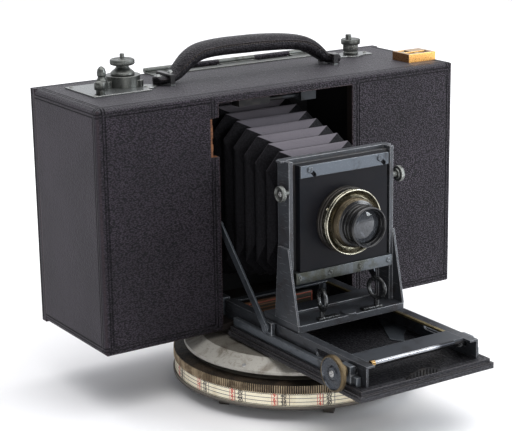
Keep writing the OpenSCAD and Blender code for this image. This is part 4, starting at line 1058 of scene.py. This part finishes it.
def along_handle(x, column):
    """A smooth curve through the handle's points, for its height or its half thickness."""
    way = min(abs(x), handle_half - 0.0001)
    handle_line = [[c * 0.001 for c in p] for p in (handle_left if x < 0 else handle_right)]
    k = max(i for i in range(len(handle_line) - 1) if handle_line[i][0] <= way)

    def slope(i):
        if i == 0:
            return 0.0
        i = min(i, len(handle_line) - 2)
        before, after = handle_line[i - 1], handle_line[i + 1]
        return (after[column] - before[column]) / (after[0] - before[0])

    (x0, y0), (x1, y1) = ((handle_line[i][0], handle_line[i][column]) for i in (k, k + 1))
    gap, t = x1 - x0, (way - x0) / (x1 - x0)
    return (y0 * (2 * t ** 3 - 3 * t ** 2 + 1) + y1 * (3 * t ** 2 - 2 * t ** 3)
            + gap * (slope(k) * (t ** 3 - 2 * t ** 2 + t) + slope(k + 1) * (t ** 3 - t ** 2)))


def handle_place(x, across_it, above):
    """A point of the handle at x along it, across its width and above its middle line."""
    lean = (along_handle(x + 0.001, 1) - along_handle(x - 0.001, 1)) / 0.002
    long = math.hypot(lean, 1)
    return Vector((handle_x + x - above * lean / long, handle_y + across_it,
                   case_top + along_handle(x, 1) + above / long))


def handle_width(x):
    """Half the handle's width: full in the middle, narrower at the tips and round at the ends."""
    half_width, tip_share, taper_end, taper, round_from = 0.013, 0.74, 0.09, 0.04, 0.1
    full = min(1.0, max(0.0, (taper_end - abs(x)) / taper))
    full = full * full * (3 - 2 * full)
    past = max(0.0, (abs(x) - round_from) / (handle_half - round_from))
    return half_width * (tip_share + (1 - tip_share) * full) * math.sqrt(max(0.02, 1 - past ** 2))


rings, stations, around = [], 96, 48
for k in range(stations + 1):
    x = handle_half * (2 * k / stations - 1)
    wide, high = handle_width(x), along_handle(x, 2)
    rings.append([])
    for i in range(around):
        a = 2 * math.pi * i / around
        rise = math.sin(a)
        lap = 1.0 if rise > lap_rise else lower_skin
        lap += 0.045 * math.exp(-((rise - 0.36) / 0.09) ** 2)
        spread = math.copysign(abs(math.cos(a)) ** squareness, math.cos(a))
        rings[-1].append(handle_place(x, wide * lap * spread, high * rise * (1.0 if rise > 0 else 0.96)))
bm = bmesh.new()
join_rings(bm, rings)
strap = keep_piece("handle_strap", bm, [handle_leather], "camera", 50)
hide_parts("handle")
waxed_thread = mottled("waxed_thread", (0.035, 0.026, 0.02), (0.095, 0.075, 0.058), 900.0, Roughness=0.55)
stitches, seam_half, seam_rise = 52, 0.078, 0.2
thread_turns = [2 * math.pi * i / 6 for i in range(6)]
thread_sizes = (-0.0011, 0.00012), (-0.0006, 0.00034), (0.0006, 0.00034), (0.0011, 0.00012)
seam_out = 0.93 * math.sqrt(1 - seam_rise ** 2) ** squareness
bm = bmesh.new()
for side in (-1, 1):
    for k in range(stitches):
        x = seam_half * (2 * k / (stitches - 1) - 1)
        wide, high = handle_width(x), along_handle(x, 2)
        a, b = (handle_place(x + s, side * wide * seam_out, high * seam_rise) for s in (-0.001, 0.001))
        lie = (b - a).normalized()
        out = Vector((0, side, 0.1)).normalized()
        flank = lie.cross(out)
        join_rings(bm, [
            [(a + b) / 2 + lie * way + (out * math.cos(t) + flank * math.sin(t)) * size
             for t in thread_turns] for way, size in thread_sizes])
keep_piece("handle_stitches", bm, [waxed_thread], "camera", 60, closed=False)
for name, x in (("handle_rivet_left", -0.1025), ("handle_rivet_inner", -0.0875),
                ("handle_rivet_right", 0.1025)):
    foot = handle_place(x, 0, along_handle(x, 2) - 0.0004)
    lean = handle_place(x, 0, 0.02) - handle_place(x, 0, 0.0)
    turned(name, [(0, 0), (0, 4.0), (0.6, 3.9), (0.8, 2.7), (1.3, 2.5), (1.8, 1.8), (2.0, 0.9), (2.0, 0)],
           foot, lean, [plate_nickel], "camera", around=28)
